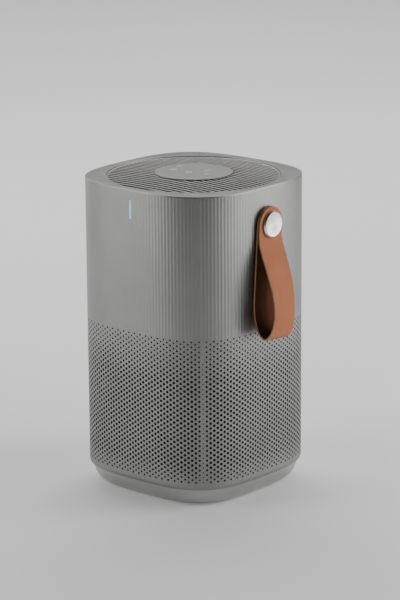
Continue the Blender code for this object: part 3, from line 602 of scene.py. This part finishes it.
def turned_shape(profile, steps):
    """Turn a profile of (radius, z) about Z into a closed shape. Points on the axis close it."""
    shape = bmesh.new()
    on_axis = profile[0][0] == 0.0
    inner = profile[1:-1] if on_axis else profile
    rings = loft(shape, [circle_level(r, z, steps) for r, z in inner], closed=not on_axis)
    if on_axis:
        for ring, z in ((rings[0], profile[0][1]), (rings[-1], profile[-1][1])):
            tip = shape.verts.new((0.0, 0.0, z))
            for i in range(steps):
                shape.faces.new((ring[i], ring[(i + 1) % steps], tip))
    face_outwards(shape)
    return shape


def arc_points(centre, radius, start_deg, end_deg, steps=20):
    """Points of an arc, from one angle to another."""
    turns = [math.radians(start_deg + (end_deg - start_deg) * i / steps) for i in range(steps + 1)]
    return [(centre[0] + radius * math.cos(a), centre[1] + radius * math.sin(a)) for a in turns]


def cylinder_shape(radius, z_low, z_high, at=(0.0, 0.0), steps=48):
    shape = bmesh.new()
    bmesh.ops.create_cone(
        shape, cap_ends=True, segments=steps, radius1=radius, radius2=radius, depth=z_high - z_low)
    move(shape, *at, (z_low + z_high) / 2)
    return shape


def block_shape(low, high):
    shape = bmesh.new()
    bmesh.ops.create_cube(shape, size=1.0)
    bmesh.ops.scale(shape, verts=shape.verts, vec=[b - a for a, b in zip(low, high)])
    move(shape, *[(a + b) / 2 for a, b in zip(low, high)])
    return shape


def temporary(shape):
    """A bare object for a Boolean: it is removed once the cut is made."""
    mesh = bpy.data.meshes.new("temporary")
    face_outwards(shape)
    shape.to_mesh(mesh)
    shape.free()
    return place_object("temporary", mesh)


def carve(shape, cuts, joins=()):
    """Union, then cut, closed shapes with exact Booleans. Returns the result as a new bmesh."""
    target = temporary(shape)
    tools = []
    for operation, others in (("UNION", joins), ("DIFFERENCE", cuts)):
        for other in others:
            tool = temporary(other)
            change = target.modifiers.new("step", "BOOLEAN")
            change.operation = operation
            change.object = tool
            tools.append(tool)
    bpy.context.view_layer.update()
    evaluated = target.evaluated_get(bpy.context.evaluated_depsgraph_get())
    result = bmesh.new()
    result.from_mesh(evaluated.to_mesh())
    evaluated.to_mesh_clear()
    for used in tools + [target]:
        bpy.data.objects.remove(used, do_unlink=True)
    return result


# ---- shell ----

class SideSurface:
    """One of the four sides, as a surface of (column position, height), +X side before turning."""

    def __init__(self):
        angles = np.linspace(-math.pi / 4, math.pi / 4, 4001)
        self.x, self.y = plan_points(0.0, angles)
        steps = np.hypot(np.diff(self.x), np.diff(self.y))
        self.along = np.concatenate(([0.0], np.cumsum(steps)))
        self.pitch = self.along[-1] / COLUMNS

    def point(self, column, z, extra_depth=0.0):
        """column counts flute centres from the corner; the flute's depth comes from its fraction."""
        off = column - round(column)
        turn = 0.0
        wrapped = column
        if column < 0.0:
            wrapped = column + COLUMNS
            turn = -math.pi / 2
        x = float(np.interp(wrapped * self.pitch, self.along, self.x))
        y = float(np.interp(wrapped * self.pitch, self.along, self.y))
        nx, ny = plan_normal(x, y)
        flute = FLUTE_DEPTH * (1.0 - FLUTE_FADE * math.sin(math.pi * wrapped / COLUMNS))
        depth = flute * (1.0 - (2.0 * off) ** 2) + tuck(z) + extra_depth
        x -= depth * nx
        y -= depth * ny
        c, s = math.cos(turn), math.sin(turn)
        return x * c - y * s, x * s + y * c, z


def tuck(z):
    """How far the shell is drawn in near its lower edge: a quarter ellipse."""
    drop = (SEAM_Z + SHELL_TUCK_HEIGHT - z) / SHELL_TUCK_HEIGHT
    if drop <= 0.0:
        return 0.0
    return SHELL_TUCK * (1.0 - math.sqrt(max(0.0, 1.0 - min(drop, 1.0) ** 2)))


def hole_radius(column, row):
    """Holes grow over the first rows, and shrink in the last ones and beside the corner seams."""
    grown = min(row / GROWING_ROWS, 1.0)
    radius = TOP_HOLE_R + (HOLE_R - TOP_HOLE_R) * grown
    radius -= ROW_SHRINK * max(0, row - (ROWS - SHRINKING_ROWS))
    if column in (1, COLUMNS - 1):
        radius *= SEAM_SHRINK
    return radius


def row_z(half_steps):
    """Height of a cell line; half_steps counts half rows down from the first hole."""
    return FIRST_ROW_Z - half_steps * ROW_PITCH / 2


def quarter_position(side, column, quarter, has_light):
    """Where a quarter line of a column lies. Beside the light it moves to the slot's edge."""
    fraction = QUARTERS[quarter]
    if has_light and column == LIGHT_COLUMN and abs(fraction) == 0.25:
        fraction = math.copysign(LIGHT_SLOT_HALF / side.pitch, fraction)
    return column + fraction


def make_shell_side(name, side, quarter_turn, has_light):
    """A fluted, perforated sheet from one corner to the next, thickened inwards."""
    shape = bmesh.new()
    grid = {}

    def line_vertex(column, quarter, level, z):
        key = (column * 4 + quarter, level)
        if key not in grid:
            position = quarter_position(side, column, quarter, has_light)
            grid[key] = shape.verts.new(side.point(position, z))
        return grid[key]

    def strip(column, upper, lower, skip=()):
        """Quads between two levels (level, z) of a column."""
        for quarter in range(4):
            if quarter in skip:
                continue
            corners = [
                line_vertex(column, quarter, *lower), line_vertex(column, quarter + 1, *lower),
                line_vertex(column, quarter + 1, *upper), line_vertex(column, quarter, *upper)]
            shape.faces.new(corners)

    upper_levels = [SHELL_TOP_Z, SHELL_TOP_Z - 1.5, LIGHT_TOP_Z + GAP, LIGHT_BOTTOM_Z - GAP, *PLAIN_LEVELS]
    lower_levels = [row_z(LAST_HALF_STEP) - 0.5]
    for turn_deg in (0.0, 20.0, 40.0, 60.0, 75.0, 90.0):
        turn = math.radians(turn_deg)
        lower_levels.append(SEAM_Z + SHELL_TUCK_HEIGHT * (1.0 - math.sin(turn)))
    above = [(("top", i), z) for i, z in enumerate(upper_levels)] + [(-1, row_z(-1))]
    below = [(LAST_HALF_STEP, row_z(LAST_HALF_STEP))]
    below += [(("low", i), z) for i, z in enumerate(lower_levels)]
    for column in range(COLUMNS):
        for i, (upper, lower) in enumerate(zip(above, above[1:])):
            in_slot = has_light and column == LIGHT_COLUMN and i == LIGHT_SLOT_LEVEL
            strip(column, upper, lower, skip=(1, 2) if in_slot else ())
        for upper, lower in zip(below, below[1:]):
            strip(column, upper, lower)
        first = 0 if column % 2 else 1
        if first:
            strip(column, (-1, row_z(-1)), (0, row_z(0)))
        else:
            strip(column, (LAST_HALF_STEP - 1, row_z(LAST_HALF_STEP - 1)), below[0])
        for row in range(ROWS):
            make_cell(shape, side, line_vertex, column, row, first + 2 * row)
    sheet_to_solid(shape, quarter_turn)
    add_piece(name, shape, [SHELL_PAINT, PAINTED_SHADE], "casing", ("outer_shell",))


def make_cell(shape, side, line_vertex, column, row, middle):
    """One cell of the perforation: a twelve-sided hole, or a blind dimple on the corner seam whose floor
    is painted shade.
    """
    top = middle - 1
    bottom = middle + 1
    rim = [line_vertex(column, 4, middle, row_z(middle))]
    rim += [line_vertex(column, quarter, top, row_z(top)) for quarter in (4, 3, 2, 1, 0)]
    rim += [line_vertex(column, 0, middle, row_z(middle))]
    rim += [line_vertex(column, quarter, bottom, row_z(bottom)) for quarter in (0, 1, 2, 3, 4)]
    on_seam = column == 0
    radius = DIMPLE_R if on_seam else hole_radius(column, row)
    if on_seam and row < DIMPLE_START_ROW:
        radius = FLAT_DIMPLE_R
    edge = []
    for i in range(HOLE_SIDES):
        turn = math.tau * i / HOLE_SIDES
        across = column + radius * math.cos(turn) / side.pitch
        edge.append(shape.verts.new(side.point(across, row_z(middle) + radius * math.sin(turn))))
    for i in range(HOLE_SIDES):
        j = (i + 1) % HOLE_SIDES
        shape.faces.new((rim[i], rim[j], edge[j], edge[i]))
    if on_seam:
        depth = DIMPLE_DEPTH if row >= DIMPLE_START_ROW else 0.0
        tip = shape.verts.new(side.point(float(column), row_z(middle), depth))
        # the dimple's floor is near-black painted shade, so it reads as a dark dot
        for i in range(HOLE_SIDES):
            shape.faces.new((edge[i], edge[(i + 1) % HOLE_SIDES], tip)).material_index = 1


def sheet_to_solid(shape, quarter_turn):
    """Turn the sheet to its side and give it its thickness; its walls and inner face take the near-black
    painted shade.
    """
    face_outwards(shape)
    rotate(shape, 90.0 * quarter_turn)
    sample = max(shape.faces, key=lambda f: f.calc_center_median().z)
    centre = sample.calc_center_median()
    if sample.normal.dot(Vector((centre.x, centre.y, 0.0))) < 0.0:
        bmesh.ops.reverse_faces(shape, faces=shape.faces)
    outer = {v: v.co.copy() for v in shape.verts}
    shape.normal_update()
    inner = {}
    for vert, place in outer.items():
        nx, ny = plan_normal(place.x, place.y)
        inner[vert] = shape.verts.new(place - Vector((nx, ny, 0.0)) * SHEET)
    border = [e for e in shape.edges if len(e.link_faces) == 1]
    walls = []
    for edge in border:
        loop = edge.link_loops[0]
        a = loop.vert
        b = loop.link_loop_next.vert
        walls.append((b, a, inner[a], inner[b]))
    backs = [[inner[v] for v in reversed(f.verts[:])] for f in shape.faces]
    # the walls and the inner face are near-black painted shade
    for corners in walls + backs:
        made = shape.faces.new(corners)
        made.material_index = 1


def make_liner():
    """A black net close behind the holes: a pre-filter, and a dark sheet that stands in for the shade
    inside the body.
    """
    bottom = LAST_ROW_Z - LINER_BELOW
    top = FIRST_ROW_Z + LINER_ABOVE
    inner = LINER_INSET + LINER_THICKNESS
    corners = ((LINER_INSET, bottom), (LINER_INSET, top), (inner, top), (inner, bottom))
    shape = loft_shape([square_level(inset, z, 128) for inset, z in corners])
    add_piece("pre_filter_net_and_shade", shape, [CARBON], "casing", ("outer_shell",), 35.0)


def make_shell():
    side = SideSurface()
    for quarter_turn, place in enumerate(("right", "back", "left", "front")):
        make_shell_side("shell_" + place, side, quarter_turn, has_light=place == "front")


# ---- top ----

def make_bezel():
    """The flat rim: square outside, round inside, with softly rolled edges."""
    under = SHELL_TOP_Z + RIM_JOINT
    roll = RIM_ROLL
    inner_r = GRILLE_R + 0.1
    foot = GRILLE_TOP_Z - SLAT_DEPTH - 1.0
    lip = inner_r + 1.2
    skirt = WALL + 0.4
    skirt_inside = skirt + 1.2
    levels = [square_level(0.0, under, FINE), square_level(0.0, RIM_Z - roll, FINE)]
    for turn_deg in (22.5, 45.0, 67.5, 90.0):
        a = math.radians(turn_deg)
        inset = roll * (1 - math.cos(a))
        levels.append(square_level(inset, RIM_Z - roll * (1 - math.sin(a)), FINE))
    levels.append(square_level(1.6, RIM_Z, FINE))
    edge = arc_points((inner_r + 0.3, RIM_Z - 0.3), 0.3, 90.0, 180.0, 3)
    inside = [(lip, RIM_Z), *edge, (inner_r, foot), (lip, foot), (lip, foot + 1.5)]
    levels += [circle_level(radius, z, FINE) for radius, z in inside]
    levels += [square_level(inset, z, FINE) for inset, z in (
        (skirt_inside, under - 2.0), (skirt_inside, foot), (skirt, foot), (skirt, under))]
    shape = loft_shape(levels)
    add_piece("top_rim", shape, [SHELL_PAINT], "casing", ("top_bezel",), 35.0)


def dome_z(x, y):
    """Top of the slats: a shallow dome that rises towards the disc."""
    return GRILLE_TOP_Z + GRILLE_DOME * (1.0 - (x * x + y * y) / SLOT_FIELD_R ** 2)


def slat_section():
    """Half-round top on a straight-sided slat: (offset across, drop below the top)."""
    half = SLAT_WIDTH / 2
    top = [(half * math.cos(a), 0.45 * (1.0 - math.sin(a))) for a in np.linspace(0.0, math.pi, 9)]
    side = [(half, SLAT_DEPTH), (half, SLAT_GREY_DEPTH)]
    return side + top + [(-x, drop) for x, drop in side[::-1]]


def add_slat(shape, y, x_from, x_to):
    """One slat along X that follows the dome."""
    section = slat_section()
    steps = max(4, int((x_to - x_from) / 5.0))
    rows = []
    for i in range(steps + 1):
        x = x_from + (x_to - x_from) * i / steps
        rows.append([shape.verts.new((x, y + off, dome_z(x, y) - drop)) for off, drop in section])
    for a, b in zip(rows, rows[1:]):
        for i in range(len(section)):
            j = (i + 1) % len(section)
            face = shape.faces.new((a[i], a[j], b[j], b[i]))
            # below the grey depth the slat faces take near-black painted shade
            if max(section[i][1], section[j][1]) > SLAT_GREY_DEPTH:
                face.material_index = 1
    shape.faces.new(rows[0])
    shape.faces.new(rows[-1][::-1])


def make_grille():
    """An outer ring, a hub ring and separate slats between them."""
    shape = bmesh.new()
    last = int(SLOT_FIELD_R // SLAT_PITCH)
    for i in range(-last, last + 1):
        y = i * SLAT_PITCH
        outer = math.sqrt(max((SLOT_FIELD_R + 0.2) ** 2 - y * y, 0.0))
        if abs(y) < HUB_R - 1.0:
            inner = math.sqrt(HUB_R ** 2 - y * y) - 0.8
            add_slat(shape, y, -outer, -inner)
            add_slat(shape, y, inner, outer)
        else:
            add_slat(shape, y, -outer, outer)
    face_outwards(shape)
    edge = [
        (GRILLE_R - 0.02, GRILLE_TOP_Z), (GRILLE_R, GRILLE_TOP_Z - 0.02),
        (GRILLE_R, GRILLE_TOP_Z - SLAT_DEPTH), (CONE_R, GRILLE_TOP_Z - SLAT_DEPTH),
        (CONE_R, GRILLE_TOP_Z - CONE_DROP), (SLOT_FIELD_R, GRILLE_TOP_Z)]
    hub = [
        (HUB_R - 0.3, GRILLE_TOP_Z + 0.6), (HUB_R, GRILLE_TOP_Z + 0.3), (HUB_R, GRILLE_BOTTOM_Z),
        (HUB_R - 2.5, GRILLE_BOTTOM_Z), (HUB_R - 2.5, GRILLE_TOP_Z + 0.6)]
    for profile in (edge, hub):
        merge_shape(shape, turned_shape(profile, 192))
    materials = [GRILLE_PAINT_AND_SHADE, PAINTED_SHADE]
    add_piece("grille_slats", shape, materials, "casing", ("outlet_grille",))


def merge_shape(target, other):
    """Copy one bmesh into another and free it."""
    mesh = bpy.data.meshes.new("merge")
    other.to_mesh(mesh)
    other.free()
    target.from_mesh(mesh)
    bpy.data.meshes.remove(mesh)


def make_disc():
    """A thin round plate with a rolled edge and a very slightly dished face."""
    under = DISC_TOP_Z - DISC_THICKNESS
    profile = [(0.0, DISC_TOP_Z - 0.12), (12.0, DISC_TOP_Z - 0.1), (24.0, DISC_TOP_Z - 0.05)]
    profile += arc_points((DISC_R - DISC_ROLL, DISC_TOP_Z - DISC_ROLL), DISC_ROLL, 90.0, 0.0, 5)
    profile += [(DISC_R, under), (DISC_R - 2.0, under), (DISC_R - 3.4, under - 0.9), (0.0, under - 0.9)]
    shape = turned_shape(profile, 192)
    add_piece("touch_disc", shape, [DISC_PLASTIC], "casing", ("control_disc",), 30.0)


def add_icon_line(shape, points, closed=False):
    """A thin raised line through points on the disc."""
    count = len(points)
    rows = []
    for i, (x, y) in enumerate(points):
        ahead = points[(i + 1) % count] if closed or i + 1 < count else points[i]
        behind = points[i - 1] if closed or i > 0 else points[i]
        run = Vector((ahead[0] - behind[0], ahead[1] - behind[1])).normalized()
        side = Vector((-run.y, run.x)) * ICON_LINE / 2
        corners = ((side, 0.0), (-side, 0.0), (-side, -0.2), (side, -0.2))
        rows.append([shape.verts.new((x + s.x, y + s.y, ICON_Z + dz)) for s, dz in corners])
    pairs = list(zip(rows, rows[1:]))
    if closed:
        pairs.append((rows[-1], rows[0]))
    for a, b in pairs:
        for i in range(4):
            j = (i + 1) % 4
            shape.faces.new((a[i], a[j], b[j], b[i]))
    if not closed:
        shape.faces.new(rows[0])
        shape.faces.new(rows[-1][::-1])


def make_icons():
    """Generic key symbols in thin printed lines: fan, clock, power, moon and lock."""
    shape = bmesh.new()
    x, y = ICON_PLACES["power"]
    add_icon_line(shape, arc_points((x, y), 2.3, 120.0, 420.0))
    add_icon_line(shape, [(x, y + 0.9), (x, y + 3.0)])
    x, y = ICON_PLACES["fan"]
    for turn in range(3):
        a = math.tau * turn / 3
        middle = (x + 1.25 * math.cos(a), y + 1.25 * math.sin(a))
        add_icon_line(shape, arc_points(middle, 1.1, 0.0, 342.0, 18), closed=True)
    x, y = ICON_PLACES["moon"]
    add_icon_line(shape, arc_points((x, y), 2.2, 60.0, 300.0))
    add_icon_line(shape, arc_points((x + 1.2, y), 1.9, 95.0, 265.0))
    x, y = ICON_PLACES["clock"]
    add_icon_line(shape, arc_points((x, y), 2.2, 0.0, 342.0), closed=True)
    add_icon_line(shape, [(x, y + 1.4), (x, y), (x + 1.0, y - 0.6)])
    x, y = ICON_PLACES["lock"]
    body = [(x - 1.6, y - 1.6), (x + 1.6, y - 1.6), (x + 1.6, y + 0.6), (x - 1.6, y + 0.6)]
    add_icon_line(shape, body, closed=True)
    add_icon_line(shape, arc_points((x, y + 0.8), 1.1, 0.0, 180.0, 10))
    face_outwards(shape)
    add_piece("disc_icons", shape, [ICON_PRINT], "casing")


def make_status_light():
    """A light pipe whose face is gently crowned and stands flush with the flutes' ridges."""
    half = LIGHT_SLOT_HALF - 0.05
    face = -HALF_WIDTH
    section = [(half * math.sin(a), face + 0.3 * (1 - math.cos(a))) for a in np.linspace(-1.4, 1.4, 9)]
    section += [(half, face + WALL + 1.5), (-half, face + WALL + 1.5)]
    shape = bmesh.new()
    rows = []
    for z, shrink in ((LIGHT_BOTTOM_Z, 0.85), (LIGHT_BOTTOM_Z + 0.25, 1.0),
                      (LIGHT_TOP_Z - 0.25, 1.0), (LIGHT_TOP_Z, 0.85)):
        rows.append([(x * shrink, y + (1.0 - shrink) * 1.2, z) for x, y in section])
    rings = loft(shape, rows, closed=False)
    shape.faces.new(rings[0][::-1])
    shape.faces.new(rings[-1])
    face_outwards(shape)
    add_piece("light_pipe", shape, [LIGHT_LENS], "casing", ("status_light_pipe",))


# ---- base ----

def corner_places():
    return [(x * CORNER_REACH, y * CORNER_REACH) for x in (1, -1) for y in (1, -1)]


def base_curve(z):
    """Inset of the base's bowl-shaped outside at height z."""
    power = 2.0 / BASE_CURVE_EXPONENT
    drop = min(max(1.0 - (z - BASE_BOTTOM_Z) / BASE_CURVE_HEIGHT, 0.0), 1.0)
    sine = drop ** (1.0 / power)
    cosine = math.sqrt(max(0.0, 1.0 - sine * sine))
    return BASE_TOP_INSET + (BASE_BOTTOM_INSET - BASE_TOP_INSET) * (1.0 - cosine ** power)


def make_base():
    """The tray under the shell: a bowl-shaped outside, a round collar, foot recesses and a jack hole."""
    floor = BASE_BOTTOM_Z + BASE_WALL
    collar_top = LEDGE_Z + LEDGE_THICKNESS
    collar_back = COLLAR_R + COLLAR_WALL
    count = 256
    heights = (BASE_TOP_Z - 0.25, 13.0, 11.0, 9.0, 7.2, 5.6, 4.2, 3.1, 2.2, 1.6, 1.2)
    levels = [square_level(BASE_TOP_INSET + 0.25, BASE_TOP_Z, count)]
    levels += [square_level(base_curve(z), z, count) for z in heights]
    levels.append(square_level(BASE_BOTTOM_INSET, BASE_BOTTOM_Z, count))
    levels += [circle_level(r, z, count) for r, z in (
        (COLLAR_R + 0.3, BASE_BOTTOM_Z), (COLLAR_R, BASE_BOTTOM_Z + 0.3), (COLLAR_R, LEDGE_Z),
        (LEDGE_R, LEDGE_Z), (LEDGE_R, collar_top), (collar_back, collar_top), (collar_back, floor))]
    levels.append(square_level(base_curve(floor) + BASE_WALL + 0.8, floor, count))
    levels += [square_level(base_curve(z) + BASE_WALL, z, count) for z in (7.5, BASE_TOP_Z)]
    shape = loft_shape(levels)
    bosses = [cylinder_shape(FOOT_BOSS_R, BASE_BOTTOM_Z + 1.2, 9.0, place) for place in corner_places()]
    cuts = []
    for place in corner_places():
        cuts.append(cylinder_shape(FOOT_R + GAP, 0.0, FOOT_HEIGHT + GAP, place, 64))
        cuts.append(cylinder_shape(SCREW_HEAD_R, 2.0, 5.4, place))
        cuts.append(cylinder_shape(SCREW_R, 4.0, 12.0, place))
    for i in range(LUG_COUNT):
        slot = block_shape(
            (LEDGE_R - 2.0, -LUG_WIDTH / 2 - LUG_CLEARANCE, LEDGE_Z - 0.5),
            (COLLAR_R - 0.05, LUG_WIDTH / 2 + LUG_CLEARANCE, collar_top + 0.5))
        cuts.append(rotate(slot, 360.0 * i / LUG_COUNT + COVER_TWIST_DEG))
    socket = cylinder_shape(SOCKET_HOLE_R, 60.0, 80.0, steps=64)
    rotate(socket, -90.0, "X")
    move(socket, 0.0, 0.0, SOCKET_Z)
    cuts.append(socket)
    add_piece("base", carve(shape, cuts, bosses), [BASE_PAINT_AND_LIGHT], "casing", ("base_tray",), 30.0)


def make_cover():
    """The round filter cover underneath: a grip bar across a round well, and three bayonet lugs."""
    low = COVER_BOTTOM_Z
    profile = [
        (0.0, COVER_TOP_Z), (GRIP_R + 2.0, COVER_TOP_Z), (GRIP_R + 2.0, 4.2), (COVER_NECK_R - 2.0, 4.2),
        (COVER_NECK_R - 2.0, COVER_TOP_Z), (COVER_NECK_R, COVER_TOP_Z), (COVER_NECK_R, LEDGE_Z - GAP),
        (COVER_R, LEDGE_Z - GAP)]
    profile += arc_points((COVER_R - 0.5, low + 0.5), 0.5, 0.0, -90.0, 3)
    profile += arc_points((GRIP_R + 0.6, low + 0.6), 0.6, -90.0, -180.0, 3)
    profile += [(GRIP_R, 8.3), (GRIP_R - 0.5, 8.8), (0.0, 8.8)]
    bar = block_shape(
        (-GRIP_R - 0.9, -GRIP_BAR_WIDTH / 2, GRIP_BAR_Z), (GRIP_R + 0.9, GRIP_BAR_WIDTH / 2, 9.4))
    bottom = [e for e in bar.edges if all(v.co.z < GRIP_BAR_Z + 0.1 for v in e.verts)]
    bmesh.ops.bevel(bar, geom=bottom, offset=0.8, segments=3, affect="EDGES")
    joins = [bar]
    for i in range(LUG_COUNT):
        lug = block_shape(
            (COVER_NECK_R - 1.0, -LUG_WIDTH / 2, LEDGE_Z + LEDGE_THICKNESS + GAP),
            (COLLAR_R - 1.0, LUG_WIDTH / 2, COVER_TOP_Z - 0.2))
        joins.append(rotate(lug, 360.0 * i / LUG_COUNT))
    shape = carve(turned_shape(profile, 128), [], joins)
    add_piece("cover", shape, [BASE_PLASTIC], "cover", ("filter_cover",), 30.0)


def make_feet():
    names = {(1, -1): "front_right", (1, 1): "back_right", (-1, 1): "back_left", (-1, -1): "front_left"}
    for (x, y), place in names.items():
        profile = [(0.0, FOOT_HEIGHT), (FOOT_R - 0.2, FOOT_HEIGHT), (FOOT_R, FOOT_HEIGHT - 0.3)]
        profile += arc_points((FOOT_R - 0.7, 0.7), 0.7, 0.0, -90.0, 4)
        profile += [(2.6, 0.0), (2.2, 0.35), (0.0, 0.35)]
        shape = turned_shape(profile, 64)
        move(shape, x * CORNER_REACH, y * CORNER_REACH, 0.0)
        add_piece("rubber_foot_" + place, shape, [RUBBER], "casing", ("foot_" + place,))


# ---- strap and rivet ----

def strap_line():
    """A smooth curve through the strap's centre-line points."""
    points = [Vector(p) for p in STRAP_LINE]
    padded = [points[0]] + points + [points[-1]]
    line = []
    for a, b, c, d in zip(padded, padded[1:], padded[2:], padded[3:]):
        for i in range(STRAP_SAMPLES):
            t = i / STRAP_SAMPLES
            line.append(0.5 * (
                2 * b + (c - a) * t + (2 * a - 5 * b + 4 * c - d) * t * t
                + (3 * b - a - 3 * c + d) * t ** 3))
    line.append(points[-1])
    return line


def strap_twist():
    """The band's twist in degrees at every sample of the line."""
    places = np.arange(len(STRAP_LINE))
    twists = [STRAP_TWIST.get(i, 0.0) for i in places]
    samples = np.arange((len(STRAP_LINE) - 1) * STRAP_SAMPLES + 1) / STRAP_SAMPLES
    return np.interp(samples, places, twists)


def strap_half_width(drop):
    """Full width, and a round end above the rivet."""
    if drop >= 0.0:
        return STRAP_HALF_WIDTH
    return math.sqrt(max(STRAP_HALF_WIDTH ** 2 - drop ** 2, 4.0))


def strap_section(half):
    """A flat band with rounded edges: (across, off the centre line, material index)."""
    thin = STRAP_THICKNESS / 2
    bulge = thin * STRAP_EDGE
    flat = half - bulge
    points = []
    for side, start_deg, face in ((1, 120.0, 0), (-1, -60.0, 2)):
        for i in range(STRAP_STEPS + 1):
            points.append((side * (flat - 2 * flat * i / STRAP_STEPS), side * thin, face))
        for i in range(5):
            a = math.radians(start_deg + 30.0 * i)
            points.append((-side * flat + bulge * math.cos(a), thin * math.sin(a), 1))
    return points


def make_strap():
    """One leather band, doubled into a loop, with both ends on the rivet."""
    line = strap_line()
    twists = np.radians(strap_twist())
    shape = bmesh.new()
    rows = []
    for i, (point, twist) in enumerate(zip(line, twists)):
        run = (line[min(i + 1, len(line) - 1)] - line[max(i - 1, 0)]).normalized()
        normal = Vector((-run.y, run.x))
        section = strap_section(strap_half_width(point.y))
        row = []
        for across, off, material in section:
            out, drop = point + normal * off
            place = (out + across * math.sin(twist), across * math.cos(twist), -drop)
            row.append((shape.verts.new(place), material))
        rows.append(row)
    count = len(rows[0])
    for a, b in zip(rows, rows[1:]):
        for i in range(count):
            j = (i + 1) % count
            face = shape.faces.new((a[i][0], a[j][0], b[j][0], b[i][0]))
            pair = (a[i][1], a[j][1])
            face.material_index = pair[0] if pair[0] == pair[1] else 1
    for row, step in ((rows[0], 1), (rows[-1], -1)):
        shape.faces.new([v for v, _ in row][::step]).material_index = 1
    face_outwards(shape)
    rotate(shape, -STRAP_TILT_DEG, "X")
    move(shape, HALF_WIDTH, 0.0, RIVET_Z)
    materials = [LEATHER, LEATHER_EDGE, LEATHER_BACK_AND_SHADE]
    add_piece("leather_strap", shape, materials, "strap", ("carry_strap",), 50.0)


def make_rivet():
    """A spun steel button with a chamfered rim, on its shank."""
    top = RIVET_UNDER_CAP + RIVET_CAP_HEIGHT
    profile = [(0.0, top - 0.12), (4.0, top - 0.1), (RIVET_CAP_R - 1.3, top - 0.02)]
    profile += arc_points((RIVET_CAP_R - 1.2, top - 0.25), 0.25, 90.0, 45.0, 2)
    profile += [
        (RIVET_CAP_R - 0.1, top - 1.3), (RIVET_CAP_R, top - 1.45),
        (RIVET_CAP_R, RIVET_UNDER_CAP + 0.2), (RIVET_CAP_R - 0.3, RIVET_UNDER_CAP),
        (RIVET_SHANK_R, RIVET_UNDER_CAP), (RIVET_SHANK_R, RIVET_SHANK_END), (0.0, RIVET_SHANK_END)]
    shape = turned_shape(profile, 128)
    rotate(shape, 90.0, "Y")
    move(shape, HALF_WIDTH, 0.0, RIVET_Z)
    add_piece("rivet_button", shape, [SPUN_STEEL], "casing", ("strap_rivet",), 25.0)


# ---- CAD nodes that stay ----

def finish_cad_nodes():
    """Give every CAD node that is still shown the procedural material of its record slot."""
    for part in frame["record"]["subparts"]:
        mesh = frame["nodes"][part["node"]].data
        mesh.materials.clear()
        mesh.materials.append(SLOT_MATERIALS[part["material_slot"]])


# ---- studio ----

def make_floor():
    shape = bmesh.new()
    bmesh.ops.create_grid(shape, x_segments=8, y_segments=8, size=4000.0)
    mesh = metre_mesh("floor", shape)
    mesh.materials.append(studio_floor("studio_floor"))
    floor = place_object("floor", mesh)


def direction(azimuth_deg, elevation_deg):
    """Unit vector away from the body. Azimuth runs from -Y towards +X."""
    a = math.radians(azimuth_deg)
    e = math.radians(elevation_deg)
    return Vector((math.cos(e) * math.sin(a), -math.cos(e) * math.cos(a), math.sin(e)))


def add_softbox(name, azimuth_deg, elevation_deg, distance, width, height, watts):
    """A rectangular light that faces the body."""
    lamp = bpy.data.lights.new(name, "AREA")
    lamp.shape = "RECTANGLE"
    lamp.size = width
    lamp.size_y = height
    lamp.energy = watts
    holder = place_object(name, lamp)
    away = direction(azimuth_deg, elevation_deg)
    holder.location = away * distance + TARGET
    holder.rotation_euler = away.to_track_quat("Z", "Y").to_euler()
    return holder


def make_lights():
    """Tall strips on both sides leave the corner that faces the camera in soft shade."""
    for place, (beside, watts) in STRIPS.items():
        azimuth = CAMERA_AZIMUTH + beside
        add_softbox("strip_" + place, azimuth, STRIP_ELEVATION, STRIP_DISTANCE, *STRIP_SIZE, watts)
    add_softbox("softbox_back_top", CAMERA_AZIMUTH + 180.0, 50.0, 1.7, 1.6, 1.2, 11.3)
    backdrop = add_softbox("backdrop_light", CAMERA_AZIMUTH + 180.0, 35.0, 2.7, 3.4, 2.0, 40.0)
    backdrop.rotation_euler = (0.0, 0.0, math.radians(CAMERA_AZIMUTH))
    world = bpy.data.worlds.new("studio")
    bpy.context.scene.world = world
    world.use_nodes = True
    background = world.node_tree.nodes["Background"]
    background.inputs["Color"].default_value = (1.0, 1.0, 1.0, 1.0)
    background.inputs["Strength"].default_value = 0.002


def make_camera():
    away = direction(CAMERA_AZIMUTH, CAMERA_ELEVATION)
    lens = bpy.data.cameras.new("camera")
    lens.lens = CAMERA_LENS
    lens.sensor_width = 36.0
    lens.shift_x, lens.shift_y = CAMERA_SHIFT
    camera = place_object("camera", lens)
    turn = away.to_track_quat("Z", "Y").to_matrix().to_4x4()
    roll = Matrix.Rotation(-math.radians(CAMERA_ROLL), 4, "Z")
    camera.matrix_world = Matrix.Translation(TARGET + away * mm(CAMERA_DISTANCE)) @ turn @ roll
    bpy.context.scene.camera = camera


make_camera()
make_floor()
make_lights()
finish_cad_nodes()
make_shell()
make_liner()
make_bezel()
make_grille()
make_disc()
make_icons()
make_status_light()
make_base()
make_cover()
make_feet()
make_strap()
make_rivet()
